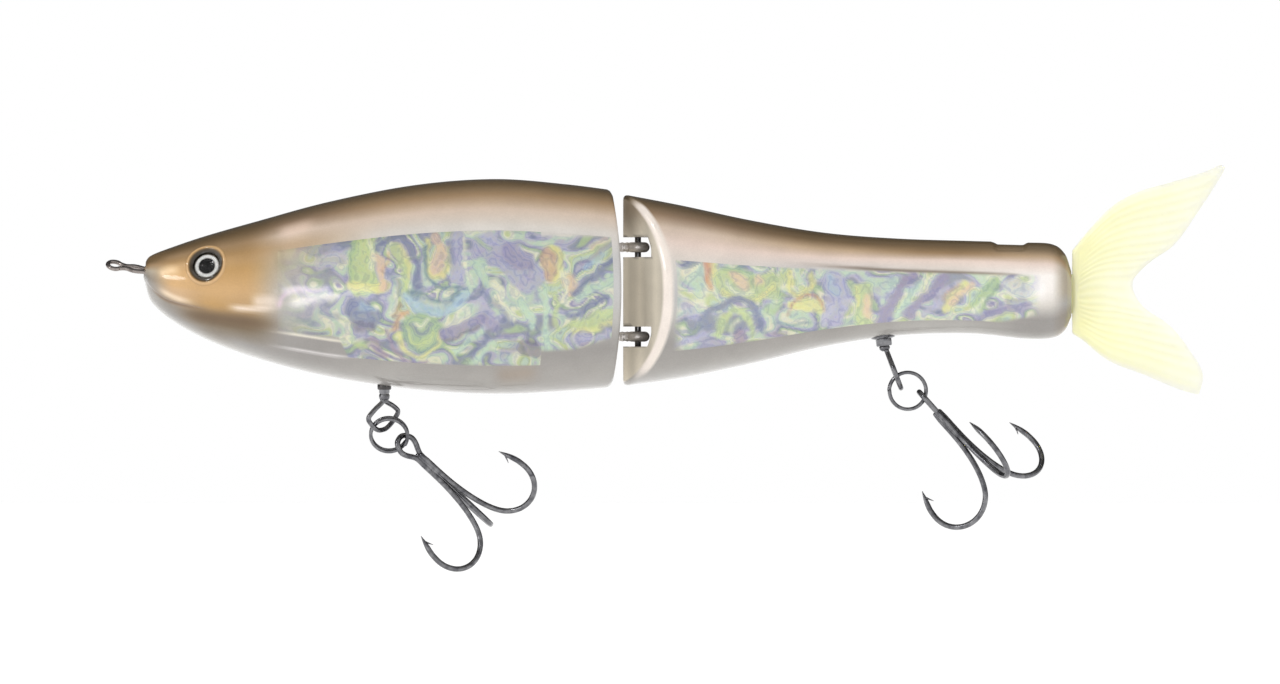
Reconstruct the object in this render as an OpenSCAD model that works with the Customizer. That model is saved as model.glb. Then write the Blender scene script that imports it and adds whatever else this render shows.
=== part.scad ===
// Two-piece jointed swimbait (glide bait), in millimetres.
// X runs from the nose to the tail and Z is up. The lure's left side faces -Y.
// The origin is the centre of the line tie's eye.

/* [Body] */
// Length of the hard body, from nose to tail socket
body_length = 153.4; // [150:0.2:158]
// Depth of the body at its deepest
body_depth = 35.6; // [34:0.2:38]
// Thickness of the body at its widest
body_width = 23.6; // [22:0.2:26]
// Thickness of the shells' walls
wall = 1.8; // [1.5:0.1:2.2]
// Distance from the line tie's eye to the nose
nose_x = 5.1; // [4.8:0.1:5.6]

/* [Hinge] */
// Radius of the hinge pin
pin_r = 0.52; // [0.45:0.01:0.6]
// Free space between the pin and the lugs' bores
pin_play = 0.06; // [0.03:0.01:0.1]
// Thickness of a hinge lug
lug_thick = 1.7; // [1.5:0.1:1.9]
// Radius of a hinge lug's eye
lug_r = 1.95; // [1.8:0.05:2]
// Height of the slots that the lugs turn in
slot_height = 3.3; // [3:0.1:3.6]
// Height of the upper lug's middle
upper_lug_z = 3.0; // [2.8:0.1:3.2]
// Height of the lower lug's middle
lower_lug_z = -11.8; // [-12:0.1:-11.6]

/* [Wire fittings] */
// Radius of the line tie's wire
tie_wire_r = 0.34; // [0.3:0.02:0.4]
// Radius of the hook hangers' wire
hanger_wire_r = 0.41; // [0.37:0.01:0.41]
// Radius of the split rings, at the middle of the wire
ring_r = 3.05; // [3:0.01:3.1]
// Radius of the split rings' wire
ring_wire_r = 0.3; // [0.26:0.01:0.32]

/* [Treble hooks] */
// Radius of the hooks' wire
hook_wire_r = 0.46; // [0.42:0.02:0.5]
// Radius of each hook's round bend, at the middle of the wire
bend_r = 5.1; // [4.8:0.05:5.2]
// Length of the front hook, from the eye's end to the bottom of the bends
front_hook_length = 23.6; // [22.6:0.2:24]
// Length of the rear hook, from the eye's end to the bottom of the bends
rear_hook_length = 23; // [22:0.2:23.8]

/* [Tail fin] */
// Height of the fin, from tip to tip
fin_height = 38.2; // [34:0.2:42]
// Thickness of the fin
fin_thick = 1.6; // [1.2:0.1:2]

/* [Hidden] */

LEFT = -1;
RIGHT = 1;

// Body outlines. Each row is [place along the body, back, belly, half thickness]:
// the place as a share of the length, back and belly as shares of the depth,
// and the half thickness as a share of the greatest one.
front_outline = [
    [0.000, -0.001, -0.080, 0.076],
    [0.001, 0.023, -0.108, 0.169],
    [0.007, 0.048, -0.172, 0.280],
    [0.027, 0.082, -0.251, 0.449],
    [0.065, 0.137, -0.344, 0.644],
    [0.121, 0.206, -0.434, 0.814],
    [0.199, 0.297, -0.519, 0.941],
    [0.291, 0.374, -0.578, 0.996],
    [0.377, 0.402, -0.599, 1.000],
    [0.454, 0.378, -0.585, 0.975],
    [0.525, 0.338, -0.560, 0.932]
];
rear_outline = [
    [0.506, 0.339, -0.568, 0.945],
    [0.578, 0.280, -0.525, 0.873],
    [0.656, 0.208, -0.456, 0.737],
    [0.734, 0.152, -0.377, 0.576],
    [0.812, 0.125, -0.327, 0.458],
    [0.890, 0.114, -0.317, 0.398],
    [0.949, 0.107, -0.341, 0.390],
    [0.979, 0.099, -0.338, 0.381],
    [0.993, 0.055, -0.304, 0.331],
    [1.000, -0.026, -0.240, 0.203]
];
// How square the body's cross-section is: 2 is an ellipse
squareness = 2.3;
ring_steps = 12;

// Places along the body
pin_x = nose_x + 0.532 * body_length;
front_end_x = pin_x - 2.75;
nose_face_x = pin_x - 2.45;
tail_end_x = nose_x + body_length;
front_hanger_x = nose_x + 0.258 * body_length;
rear_hanger_x = nose_x + 0.798 * body_length;
eye_x = nose_x + 0.065 * body_length;
eye_z = 0.15;

// Hinge
bore_r = pin_r + pin_play;
slot_end_x = pin_x + lug_r + 0.25;
bevel_depth = 0.0574 * body_length;
bevel_power = 1.6;
// The front section's rear face is a shallow hollow cylinder, clear of the turning nose
recess_r = 30;
recess_x = pin_x + 25.7;
pin_top_z = 9.0;
pin_bottom_z = -17.0;
arc_sagitta = 1.6;

// Hook hangers: the stem turns in a sleeve in the belly
stem_r = 0.88;
stem_play = 0.06;
stem_head_r = 1.4;
sleeve_r = 1.75;
sleeve_length = 4.6;
front_sleeve_z = -20.6;
rear_sleeve_z = -13.1;
rear_stem_lean = 7;

// Ballast slugs: [x, z, radius, length]
belly_slug = [front_hanger_x + 22, -14.2, 4.6, 13];
head_slug = [front_hanger_x - 12, -11, 4, 10];
rear_slug = [rear_hanger_x - 20, -9.4, 3.1, 11];
slug_play = 0.04;
rib_thick = 1.6;

// Loops of the hook hangers at rest
front_loop_top = [front_hanger_x, 0, front_sleeve_z - 1.5];
front_loop_pitch = 16;
front_loop_lean = -4;
front_loop_yaw = 48;
front_loop_half = 3.5;
front_loop_length = 5.4;
rear_loop_top = [rear_hanger_x + 0.35, 0, rear_sleeve_z - 0.9];
rear_loop_pitch = 0;
rear_loop_lean = 21;
rear_loop_yaw = 90;
rear_loop_half = 2.75;
rear_loop_length = 6.8;

// ---------- curves ----------

// Point between rows b and c of a table, on a Catmull-Rom curve through them
function spline_point(a, b, c, d, u) =
    0.5 * (2 * b + (c - a) * u + (2 * a - 5 * b + 4 * c - d) * u * u
    + (3 * b - a - 3 * c + d) * u * u * u);

// Row t of a table, where t may lie between two rows
function table_row(table, t) =
    let(last = len(table) - 1)
    let(i = min(floor(t), last - 1))
    let(before = i == 0 ? 2 * table[0] - table[1] : table[i - 1])
    let(after = i == last - 1 ? 2 * table[last] - table[last - 1] : table[i + 2])
    spline_point(before, table[i], table[i + 1], after, t - i);

// One rounded-off power, for the body's squarish oval section
function soft_power(v) = sign(v) * pow(abs(v), 2 / squareness);

// Point of the body's skin: t is the row, angle goes from back (0) to belly (180),
// and inset is how far inside the skin it lies
function skin_point(table, t, angle, inset) =
    let(row = table_row(table, t))
    let(top = row[1] * body_depth - inset)
    let(bottom = row[2] * body_depth + inset)
    let(half = row[3] * body_width / 2 - inset)
    [
        nose_x + row[0] * body_length,
        half * soft_power(sin(angle)),
        (top + bottom) / 2 + (top - bottom) / 2 * soft_power(cos(angle))
    ];

// Closed loft over full rings of points: the two ends are capped flat
module loft(rings) {
    count = len(rings[0]);
    last = len(rings) - 1;
    points = [for (ring = rings) each ring];
    sides = [
        for (i = [0:last - 1])
            for (k = [0:count - 1])
                let(next = (k + 1) % count)
                for (face = [
                    [i * count + k, (i + 1) * count + next, (i + 1) * count + k],
                    [i * count + k, i * count + next, (i + 1) * count + next]
                ])
                    face
    ];
    start_cap = [for (k = [1:count - 2]) [0, k + 1, k]];
    end_cap = [for (k = [1:count - 2]) [last * count, last * count + k, last * count + k + 1]];
    polyhedron(points, concat(sides, start_cap, end_cap), convexity = 10);
}

// Half of the body's outside on one side (-1 left, 1 right), flat at the middle plane
module outer_half(table, side, steps) {
    loft([
        for (t = steps)
            [
                for (k = [0:ring_steps])
                    let(a = side < 0 ? 180 - 180 * k / ring_steps : 180 * k / ring_steps)
                    let(p = skin_point(table, t, a, 0))
                    [p[0], side * p[1], p[2]]
            ]
    ]);
}

// The hollow inside the body, whole, one wall inside the skin
module hollow(table, steps) {
    around = 2 * ring_steps - 4;
    loft([
        for (t = steps)
            [
                for (k = [0:around - 1])
                    let(a = 360 * k / around)
                    let(p = skin_point(table, t, a <= 180 ? a : 360 - a, wall))
                    [p[0], a <= 180 ? p[1] : -p[1], p[2]]
            ]
    ]);
}

// Thin skin patch on one flank, from row t0 to t1. Its upper and lower angles are given by
// a function of the share of the way along it.
module foil_patch(table, side, t0, t1, angles) {
    along = 18;
    across = 7;
    gap = 0.12;
    thick = 0.15;
    function spot(i, k, out) =
        let(t = t0 + (t1 - t0) * i / along)
        let(ends = angles(i / along))
        let(a = ends[0] + (ends[1] - ends[0]) * k / across)
        let(p = skin_point(table, t, a, -out))
        [p[0], side * p[1], p[2]];
    loft([
        for (i = [0:along])
            let(inner = [for (k = [0:across]) spot(i, k, gap)])
            let(outer = [for (k = [across:-1:0]) spot(i, k, gap + thick)])
            let(ring = concat(inner, outer))
            side > 0 ? [for (n = [len(ring) - 1:-1:0]) ring[n]] : ring
    ]);
}

// ---------- wires ----------

function unit(v) = v / norm(v);

// Direction of a path at point i
function path_direction(path, i) =
    unit(path[min(i + 1, len(path) - 1)] - path[max(i - 1, 0)]);

// Wire swept along a path that lies nearly in the plane with the given normal.
// radii has one radius for each point.
module wire(path, radii, normal, sides = 8) {
    loft([
        for (i = [0:len(path) - 1])
            let(d = path_direction(path, i))
            let(across = unit(cross(normal, d)))
            let(up = cross(across, d))
            [
                for (k = [0:sides - 1])
                    let(a = 360 * k / sides)
                    path[i] + radii[i] * (cos(a) * across + sin(a) * up)
            ]
    ]);
}

module even_wire(path, r, normal, sides = 8) {
    wire(path, [for (p = path) r], normal, sides);
}

// Points of an arc in the XZ plane, angles from +X towards +Z
function arc_points(centre, r, from, to, steps) = [
    for (i = [0:steps])
        let(a = from + (to - from) * i / steps)
        centre + r * [cos(a), 0, sin(a)]
];

// Points of a cubic Bezier curve
function bezier_points(a, b, c, d, steps) = [
    for (i = [0:steps])
        let(u = i / steps)
        pow(1 - u, 3) * a + 3 * pow(1 - u, 2) * u * b + 3 * (1 - u) * u * u * c + pow(u, 3) * d
];

// ---------- body shells ----------

front_steps = [for (i = [0:20]) i / 2];
rear_steps = [for (i = [0:18]) i / 2];
front_hollow_steps = [for (i = [0:9]) 4.7 + i * 0.5];
rear_hollow_steps = [for (i = [0:9]) 1.25 + i * 0.5];

// Side view of the front section's rear edge: one long arc
module front_end_limit() {
    half = body_depth * 0.46;
    r = (half * half + arc_sagitta * arc_sagitta) / (2 * arc_sagitta);
    middle_z = -0.11 * body_depth;
    translate([front_end_x - r, 30, middle_z])
        rotate([90, 0, 0])
            cylinder(r = r, h = 60, $fn = 96);
}

// Plan view of the rear section's nose: a rounded wedge around the hinge pin
module rear_nose_limit() {
    half = body_width / 2;
    steps = 7;
    nose = [
        for (i = [-steps:steps])
            let(share = i / steps)
            [nose_face_x + bevel_depth * pow(abs(share), bevel_power) * 1.02, share * half * 1.02]
    ];
    translate([0, 0, -30])
        linear_extrude(60)
            polygon(concat(nose, [[tail_end_x + 5, half * 1.02], [tail_end_x + 5, -half * 1.02]]));
}

// Bore for the pin, the whole way down the rear section's nose
module pin_bore(r) {
    translate([pin_x, 0, pin_bottom_z])
        cylinder(r = r, h = pin_top_z - pin_bottom_z, $fn = 32);
}

module lug_slot(z) {
    translate([nose_face_x - 2, -15, z - slot_height / 2])
        cube([slot_end_x - nose_face_x + 2, 30, slot_height]);
}

// Two ribs that stay standing across the hollow, to carry a ballast slug
module slug_ribs(x, gap) {
    for (side = [-1, 1])
        translate([x + side * gap / 2 - rib_thick / 2, -15, -25])
            cube([rib_thick, 30, 45]);
}

module belly_boss(x, z, lean) {
    translate([x, 0, z - 1])
        rotate([0, -lean, 0])
            cylinder(r = sleeve_r + wall, h = sleeve_length + 2.6, $fn = 32);
}

// Place for something round that stands along a sleeve's axis
module at_sleeve(x, z, lean) {
    translate([x, 0, z])
        rotate([0, -lean, 0])
            children();
}

// Blind bore for a swivel sleeve
module sleeve_seat() {
    translate([0, 0, -1])
        cylinder(r = sleeve_r, h = sleeve_length + 1, $fn = 32);
}

module front_shell(side) {
    difference() {
        intersection() {
            outer_half(front_outline, side, front_steps);
            front_end_limit();
        }
        difference() {
            hollow(front_outline, front_hollow_steps);
            slug_ribs(belly_slug[0], belly_slug[3] - 5);
            slug_ribs(head_slug[0], head_slug[3] - 4);
            belly_boss(front_hanger_x, front_sleeve_z, 0);
        }
        translate([recess_x, 0, -30])
            cylinder(r = recess_r, h = 60, $fn = 96);
        for (z = [upper_lug_z, lower_lug_z])
            translate([front_end_x - 9, 0, z])
                rotate([0, 90, 0])
                    cylinder(r = lug_thick / 2, h = 12, $fn = 24);
        at_sleeve(front_hanger_x, front_sleeve_z, 0)
            sleeve_seat();
        line_tie_channel();
        eye_seat(side);
        slug(belly_slug, slug_play);
        slug(head_slug, slug_play);
    }
}

module rear_shell(side) {
    difference() {
        intersection() {
            outer_half(rear_outline, side, rear_steps);
            rear_nose_limit();
        }
        difference() {
            hollow(rear_outline, rear_hollow_steps);
            slug_ribs(rear_slug[0], rear_slug[3] - 4);
            belly_boss(rear_hanger_x, rear_sleeve_z, rear_stem_lean);
        }
        lug_slot(upper_lug_z);
        lug_slot(lower_lug_z);
        pin_bore(pin_r);
        at_sleeve(rear_hanger_x, rear_sleeve_z, rear_stem_lean)
            sleeve_seat();
        fin_socket();
        slug(rear_slug, slug_play);
    }
}

module front_shell_left() {
    color("tan") front_shell(LEFT);
}

module front_shell_right() {
    color("tan") front_shell(RIGHT);
}

module rear_shell_left() {
    color("rosybrown") rear_shell(LEFT);
}

module rear_shell_right() {
    color("rosybrown") rear_shell(RIGHT);
}

// ---------- foils ----------

module front_foil(side) {
    color("thistle")
        foil_patch(front_outline, side, 5.1, 9.85, function(u) [61, 134]);
}

module rear_foil(side) {
    color("thistle")
        foil_patch(rear_outline, side, 1.05, 7.9, function(u) [72 - 7 * u, 126 + 14 * u]);
}

module front_foil_left() {
    front_foil(LEFT);
}

module front_foil_right() {
    front_foil(RIGHT);
}

module rear_foil_left() {
    rear_foil(LEFT);
}

module rear_foil_right() {
    rear_foil(RIGHT);
}

// ---------- eyes ----------

eye_r = 2.5;
eye_tilt_up = 24;
eye_turn_forward = 13;
eye_depth = 1.3;

// Frame at the middle of the eye's seat, with +Z pointing out of the head
module at_eye(side) {
    skin = skin_point(front_outline, 4, 62, 0);
    translate([eye_x, side * skin[1], eye_z])
        rotate([0, 0, side * eye_turn_forward])
            rotate([side * -(90 - eye_tilt_up), 0, 0])
                children();
}

module eye_seat(side) {
    at_eye(side)
        translate([0, 0, -eye_depth])
            cylinder(r = eye_r + 0.05, h = 5, $fn = 32);
}

module eye_iris(side) {
    color("silver")
        at_eye(side)
            translate([0, 0, -eye_depth])
                cylinder(r = eye_r, h = 0.5, $fn = 32);
}

module eye_dome(side) {
    rise = 1.1;
    ball_r = (eye_r * eye_r + rise * rise) / (2 * rise);
    color("lightcyan")
        at_eye(side)
            translate([0, 0, 0.5 - eye_depth])
                union() {
                    cylinder(r = eye_r, h = 0.4, $fn = 32);
                    translate([0, 0, 0.4])
                        intersection() {
                            translate([0, 0, rise - ball_r])
                                sphere(r = ball_r, $fn = 48);
                            cylinder(r = eye_r, h = rise + 1, $fn = 32);
                        }
                }
}

module eye_iris_left() {
    eye_iris(LEFT);
}

module eye_iris_right() {
    eye_iris(RIGHT);
}

module eye_dome_left() {
    eye_dome(LEFT);
}

module eye_dome_right() {
    eye_dome(RIGHT);
}

// ---------- line tie ----------

tie_roll = 30;
tie_pitch = 9.5;
tie_leg_y = 0.85;
tie_leg_end = 13;

// The line tie's own frame: its wire lies in the XY plane of this frame
module at_line_tie() {
    rotate([0, tie_pitch, 0])
        rotate([tie_roll, 0, 0])
            children();
}

// Half of the wire's route, from the front of the eye to the leg in the nose
function tie_half(side) = concat(
    [for (i = [1:7]) 1.15 * [-cos(i * 20), side * sin(i * 20), 0]],
    [
        [1.75, side * 0.42, 0],
        [2.4, side * 0.62, 0],
        [3.1, side * 1.08, 0],
        [3.9, side * 1.12, 0],
        [4.7, side * 0.9, 0],
        [5.5, side * tie_leg_y, 0],
        [tie_leg_end, side * tie_leg_y, 0],
        [tie_leg_end + 0.4, side * (tie_leg_y + 0.3), 0],
        [tie_leg_end + 0.5, side * (tie_leg_y + 1.2), 0]
    ]
);

module line_tie() {
    right = tie_half(1);
    left = tie_half(-1);
    path = concat([for (i = [len(left) - 1:-1:0]) left[i]], [[-1.15, 0, 0]], right);
    color("gray")
        at_line_tie()
            even_wire(path, tie_wire_r, [0, 0, 1]);
}

module line_tie_channel() {
    channel_r = tie_wire_r + 0.05;
    at_line_tie() {
        for (side = [LEFT, RIGHT])
            translate([3.9, side * tie_leg_y, 0])
                rotate([0, 90, 0])
                    cylinder(r = channel_r, h = tie_leg_end - 3.5, $fn = 24);
        translate([tie_leg_end + 0.45, -2.6, 0])
            rotate([-90, 0, 0])
                cylinder(r = channel_r + 0.25, h = 5.2, $fn = 24);
    }
}

// ---------- hinge ----------

module hinge_lug(z) {
    rim_r = lug_thick / 2;
    color("lightgray")
        translate([pin_x, 0, z])
            difference() {
                union() {
                    cylinder(r = lug_r - rim_r, h = lug_thick, center = true, $fn = 32);
                    rotate_extrude($fn = 48)
                        translate([lug_r - rim_r, 0])
                            circle(r = rim_r, $fn = 24);
                    translate([front_end_x - pin_x - 7, 0, 0])
                        rotate([0, 90, 0])
                            cylinder(r = rim_r, h = pin_x - front_end_x + 7 - lug_r + 0.5, $fn = 24);
                }
                cylinder(r = bore_r, h = 4, center = true, $fn = 32);
            }
}

module hinge_lug_upper() {
    hinge_lug(upper_lug_z);
}

module hinge_lug_lower() {
    hinge_lug(lower_lug_z);
}

module hinge_pin() {
    color("dimgray") pin_bore(pin_r);
}

// ---------- hook hangers ----------

// Sleeve with a flange under the belly, and a wider bore above for the stem's head
module swivel_sleeve() {
    color("dimgray")
        difference() {
            cylinder(r = sleeve_r, h = sleeve_length, $fn = 32);
            translate([0, 0, -1])
                cylinder(r = stem_r + stem_play, h = 8, $fn = 32);
            translate([0, 0, sleeve_length - 1.6])
                cylinder(r = stem_head_r + stem_play, h = 3, $fn = 32);
        }
}

module front_swivel_sleeve() {
    at_sleeve(front_hanger_x, front_sleeve_z, 0) swivel_sleeve();
}

module rear_swivel_sleeve() {
    at_sleeve(rear_hanger_x, rear_sleeve_z, rear_stem_lean) swivel_sleeve();
}

// Stem in the sleeve, with the head that keeps it there
module hanger_stem(below) {
    translate([0, 0, -below])
        cylinder(r = stem_r, h = below + sleeve_length - 0.9, $fn = 32);
    translate([0, 0, sleeve_length - 1.5])
        cylinder(r = stem_head_r, h = 0.7, $fn = 32);
}

// Frame of a hanger's loop: -Z runs down the loop and X across it
module at_loop(top, pitch, lean, yaw) {
    translate(top)
        rotate([pitch, -lean, 0])
            rotate([0, 0, yaw])
                children();
}

// Rounded diamond of wire, hanging from its top corner
module hanger_loop(half_width, length) {
    half = [
        [0.43, 0, 0.5],
        [0.43, 0, -0.1],
        [0.5, 0, -0.6],
        [0.57 * half_width, 0, -0.27 * length],
        [0.93 * half_width, 0, -0.44 * length],
        [half_width, 0, -0.54 * length],
        [0.93 * half_width, 0, -0.64 * length],
        [0.6 * half_width, 0, -0.85 * length],
        [0.28 * half_width, 0, -0.975 * length]
    ];
    other = [for (i = [len(half) - 1:-1:0]) [-half[i][0], 0, half[i][2]]];
    smooth = concat(half, [[0, 0, -length]], other);
    path = [for (t = [1:0.5:len(smooth) - 2]) table_row(smooth, t)];
    even_wire(path, hanger_wire_r, [0, 1, 0]);
}

module front_hanger() {
    color("gray") {
        at_sleeve(front_hanger_x, front_sleeve_z, 0) hanger_stem(1.6);
        at_loop(front_loop_top, front_loop_pitch, front_loop_lean, front_loop_yaw)
            hanger_loop(front_loop_half, front_loop_length);
    }
}

module rear_hanger() {
    color("gray") {
        at_sleeve(rear_hanger_x, rear_sleeve_z, rear_stem_lean) hanger_stem(0.9);
        at_loop(rear_loop_top, rear_loop_pitch, rear_loop_lean, rear_loop_yaw)
            hanger_loop(rear_loop_half, rear_loop_length);
    }
}

// ---------- split rings ----------

ring_pitch = 0.62;
// Where on each ring its two ends lie, as a turn about the ring's own middle
front_ring_phase = 30;
rear_ring_phase = 180;

// Two turns of wire in the XZ plane, centred on the origin
module split_ring() {
    steps = 48;
    path = [
        for (i = [0:steps])
            let(a = 720 * i / steps)
            [ring_r * cos(a), ring_pitch * (2 * i / steps - 1), ring_r * sin(a)]
    ];
    even_wire(path, ring_wire_r, [0, 1, 0]);
}

// The rings hang on the hangers' wire. Each is rolled about the body's axis and then turned
// about the vertical by its yaw. From the hanger's wire, its middle lies at its reach, in
// the direction of its fall below the horizontal, towards the tail.
front_ring_roll = 25;
front_ring_yaw = 0;
front_ring_fall = 38;
front_ring_reach = 1.46;
rear_ring_roll = 0;
rear_ring_yaw = 4;
rear_ring_fall = 52;
rear_ring_reach = ring_r;

// Direction in a ring's plane, at an angle below the horizontal
function in_ring(roll, yaw, fall) = [
    cos(yaw) * cos(fall) - sin(yaw) * sin(roll) * sin(fall),
    sin(yaw) * cos(fall) + cos(yaw) * sin(roll) * sin(fall),
    -cos(roll) * sin(fall)
];

// Point of a hanger's loop, at a distance down from its top
function loop_point(top, pitch, lean, down) =
    top + down * [sin(lean), sin(pitch) * cos(lean), -cos(pitch) * cos(lean)];

front_ring_pivot =
    loop_point(front_loop_top, front_loop_pitch, front_loop_lean, front_loop_length);
front_ring_centre = front_ring_pivot
    + front_ring_reach * in_ring(front_ring_roll, front_ring_yaw, front_ring_fall);
rear_ring_pivot = loop_point(rear_loop_top, rear_loop_pitch, rear_loop_lean, 4.7);
rear_ring_centre = rear_ring_pivot
    + rear_ring_reach * in_ring(rear_ring_roll, rear_ring_yaw, rear_ring_fall);

module front_split_ring() {
    color("dimgray")
        translate(front_ring_centre)
            rotate([front_ring_roll, 0, front_ring_yaw])
                rotate([0, front_ring_phase, 0])
                    split_ring();
}

module rear_split_ring() {
    color("dimgray")
        translate(rear_ring_centre)
            rotate([rear_ring_roll, 0, rear_ring_yaw])
                rotate([0, rear_ring_phase, 0])
                    split_ring();
}

// ---------- treble hooks ----------

hook_eye_half = 1.7;
bend_offset = 2.1;
barb_height = 0.55;

// One bend in the XZ plane, from the shank out to the point; the eye is at the top
function hook_path(length) =
    let(bottom = -length + hook_wire_r + bend_r)
    let(centre = [bend_r + bend_offset, 0, bottom])
    let(start = centre + bend_r * [cos(212), 0, sin(212)])
    let(arriving = 3.2 * [-sin(212), 0, cos(212)])
    concat(
        [[0.55, 0, -5.2], [0.55, 0, -8]],
        bezier_points([0.55, 0, -9], [0.55, 0, -13], start - arriving, start, 6),
        arc_points(centre, bend_r, 225, 366, 11),
        [for (p = [[-0.3, 2.1], [-0.8, 3.5], [-1.3, 4.8]]) centre + [bend_r + p[0], 0, p[1]]]
    );

module hook_bend(length) {
    path = hook_path(length);
    last = len(path) - 1;
    radii = [for (i = [0:last]) i == last ? 0.05 : i == last - 1 ? 0.7 * hook_wire_r : hook_wire_r];
    wire(path, radii, [0, 1, 0]);
    barb_at = path[last - 1];
    translate(barb_at)
        polyhedron(
            [
                [-0.2, -0.12, -1.3], [-0.2, 0.12, -1.3],
                [-0.2, 0, 0.2],
                [-0.3 - barb_height, 0, -1.35]
            ],
            [[0, 2, 1], [0, 1, 3], [1, 2, 3], [2, 0, 3]]
        );
}

// Teardrop eye and the shank where the three wires are joined
module hook_eye() {
    half = [
        [0.5, 0, -5.6],
        [0.55, 0, -4.9],
        [0.85, 0, -4.2],
        [1.45, 0, -3.2],
        [hook_eye_half, 0, -2.2],
        [1.35, 0, -1.25],
        [0.8, 0, -0.65]
    ];
    other = [for (i = [len(half) - 1:-1:0]) [-half[i][0], 0, half[i][2]]];
    smooth = concat(half, [[0, 0, -hook_wire_r]], other);
    path = [for (t = [0:0.5:len(smooth) - 1]) table_row(smooth, t)];
    even_wire(path, hook_wire_r, [0, 1, 0]);
}

// The eye's end is at the origin and the shank runs down -Z
module treble_hook(length, first_bend, eye_turn) {
    resize([0, 0, 0])
        union() {
            rotate([0, 0, eye_turn])
                hook_eye();
            translate([0, 0, -9.4])
                cylinder(r = 0.93, h = 4.4, $fn = 16);
            for (i = [0:2])
                rotate([0, 0, first_bend + 120 * i])
                    hook_bend(length);
        }
}

// Each hook hangs on its ring at a place that lies at this fall from the ring's middle.
// The slope is how steeply the shank runs down, the turn is that of the eye about the
// shank, and away is how far the shank leans towards the right side.
front_hook_fall = 32;
front_hook_slope = 43;
front_hook_turn = 30;
front_hook_away = 12;
rear_hook_fall = 23;
rear_hook_slope = 48.2;
rear_hook_turn = 90;
rear_hook_away = -15;
eye_seat_depth = 1.75;
front_hook_pivot = front_ring_centre
    + ring_r * in_ring(front_ring_roll, front_ring_yaw, front_hook_fall);
rear_hook_pivot = rear_ring_centre
    + ring_r * in_ring(rear_ring_roll, rear_ring_yaw, rear_hook_fall);

module front_treble_hook() {
    color("dimgray")
        translate(front_hook_pivot)
            rotate([0, front_hook_slope - 90, 0])
                rotate([front_hook_away, 0, 0])
                    translate([0, 0, eye_seat_depth])
                        treble_hook(front_hook_length, 92, front_hook_turn);
}

module rear_treble_hook() {
    color("dimgray")
        translate(rear_hook_pivot)
            rotate([0, rear_hook_slope - 90, 0])
                rotate([rear_hook_away, 0, 0])
                    translate([0, 0, eye_seat_depth])
                        treble_hook(rear_hook_length, -75.5, rear_hook_turn);
}

// ---------- ballast ----------

// Round bar along the body: its x and z, radius and length, with extra room all round
module slug(bar, room) {
    translate([bar[0] - bar[3] / 2 - room, 0, bar[1]])
        rotate([0, 90, 0])
            cylinder(r = bar[2] + room, h = bar[3] + 2 * room, $fn = 48);
}

module belly_ballast() {
    color("darkkhaki") slug(belly_slug, 0);
}

module head_ballast() {
    color("darkkhaki") slug(head_slug, 0);
}

module rear_ballast() {
    color("darkkhaki") slug(rear_slug, 0);
}

// ---------- tail fin ----------

plug_depth = 7;
plug_height = 8;
plug_thick = 2.4;

module fin_socket() {
    translate([tail_end_x - plug_depth, -plug_thick / 2 - 0.05, -4.6 - plug_height / 2])
        cube([plug_depth + 5, plug_thick + 0.1, plug_height]);
}

// Outline of the fin's blade: x from the body's end, z as a share of the fin's height
fin_outline = [
    [0.2, 0.065], [3.0, 0.155], [7.2, 0.265], [11.8, 0.325], [16.5, 0.36],
    [22.0, 0.405], [24.9, 0.437], [25.2, 0.405], [20.6, 0.215], [17.1, 0.09],
    [13.0, 0.012], [10.2, -0.075], [11.8, -0.175], [16.4, -0.262], [19.7, -0.37],
    [21.8, -0.47], [21.2, -0.562], [17.6, -0.535], [12.4, -0.478], [6.2, -0.413],
    [2.2, -0.33], [0.2, -0.295]
];

module tail_fin() {
    color("khaki")
        union() {
            translate([tail_end_x, fin_thick / 2, 0])
                rotate([90, 0, 0])
                    linear_extrude(fin_thick)
                        polygon([for (p = fin_outline) [p[0], p[1] * fin_height]]);
            translate([tail_end_x - plug_depth + 0.3, -plug_thick / 2, -4.6 - plug_height / 2 + 0.05])
                cube([plug_depth + 0.4, plug_thick, plug_height - 0.1]);
        }
}

front_shell_left();
front_shell_right();
front_foil_left();
front_foil_right();
eye_iris_left();
eye_iris_right();
eye_dome_left();
eye_dome_right();
line_tie();
hinge_lug_upper();
hinge_lug_lower();
front_swivel_sleeve();
belly_ballast();
head_ballast();
rear_shell_left();
rear_shell_right();
rear_foil_left();
rear_foil_right();
hinge_pin();
rear_swivel_sleeve();
rear_ballast();
tail_fin();
front_hanger();
front_split_ring();
front_treble_hook();
rear_hanger();
rear_split_ring();
rear_treble_hook();
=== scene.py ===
import math
import bpy
import bmesh
import numpy as np
from mathutils import Matrix, Vector, kdtree, noise


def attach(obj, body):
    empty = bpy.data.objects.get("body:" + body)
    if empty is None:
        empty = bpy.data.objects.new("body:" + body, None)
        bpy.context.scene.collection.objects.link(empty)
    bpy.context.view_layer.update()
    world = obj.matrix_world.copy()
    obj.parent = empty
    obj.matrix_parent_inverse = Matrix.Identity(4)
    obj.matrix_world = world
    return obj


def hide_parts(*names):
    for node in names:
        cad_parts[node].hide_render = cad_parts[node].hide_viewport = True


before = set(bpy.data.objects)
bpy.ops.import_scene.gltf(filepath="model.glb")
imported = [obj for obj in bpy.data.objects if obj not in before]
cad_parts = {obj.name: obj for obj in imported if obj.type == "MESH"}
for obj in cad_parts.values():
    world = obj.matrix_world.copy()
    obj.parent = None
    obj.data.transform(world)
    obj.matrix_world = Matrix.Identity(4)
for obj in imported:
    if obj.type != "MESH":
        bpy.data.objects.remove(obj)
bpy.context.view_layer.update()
scene = bpy.context.scene
scene.view_settings.view_transform = "Standard"

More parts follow.
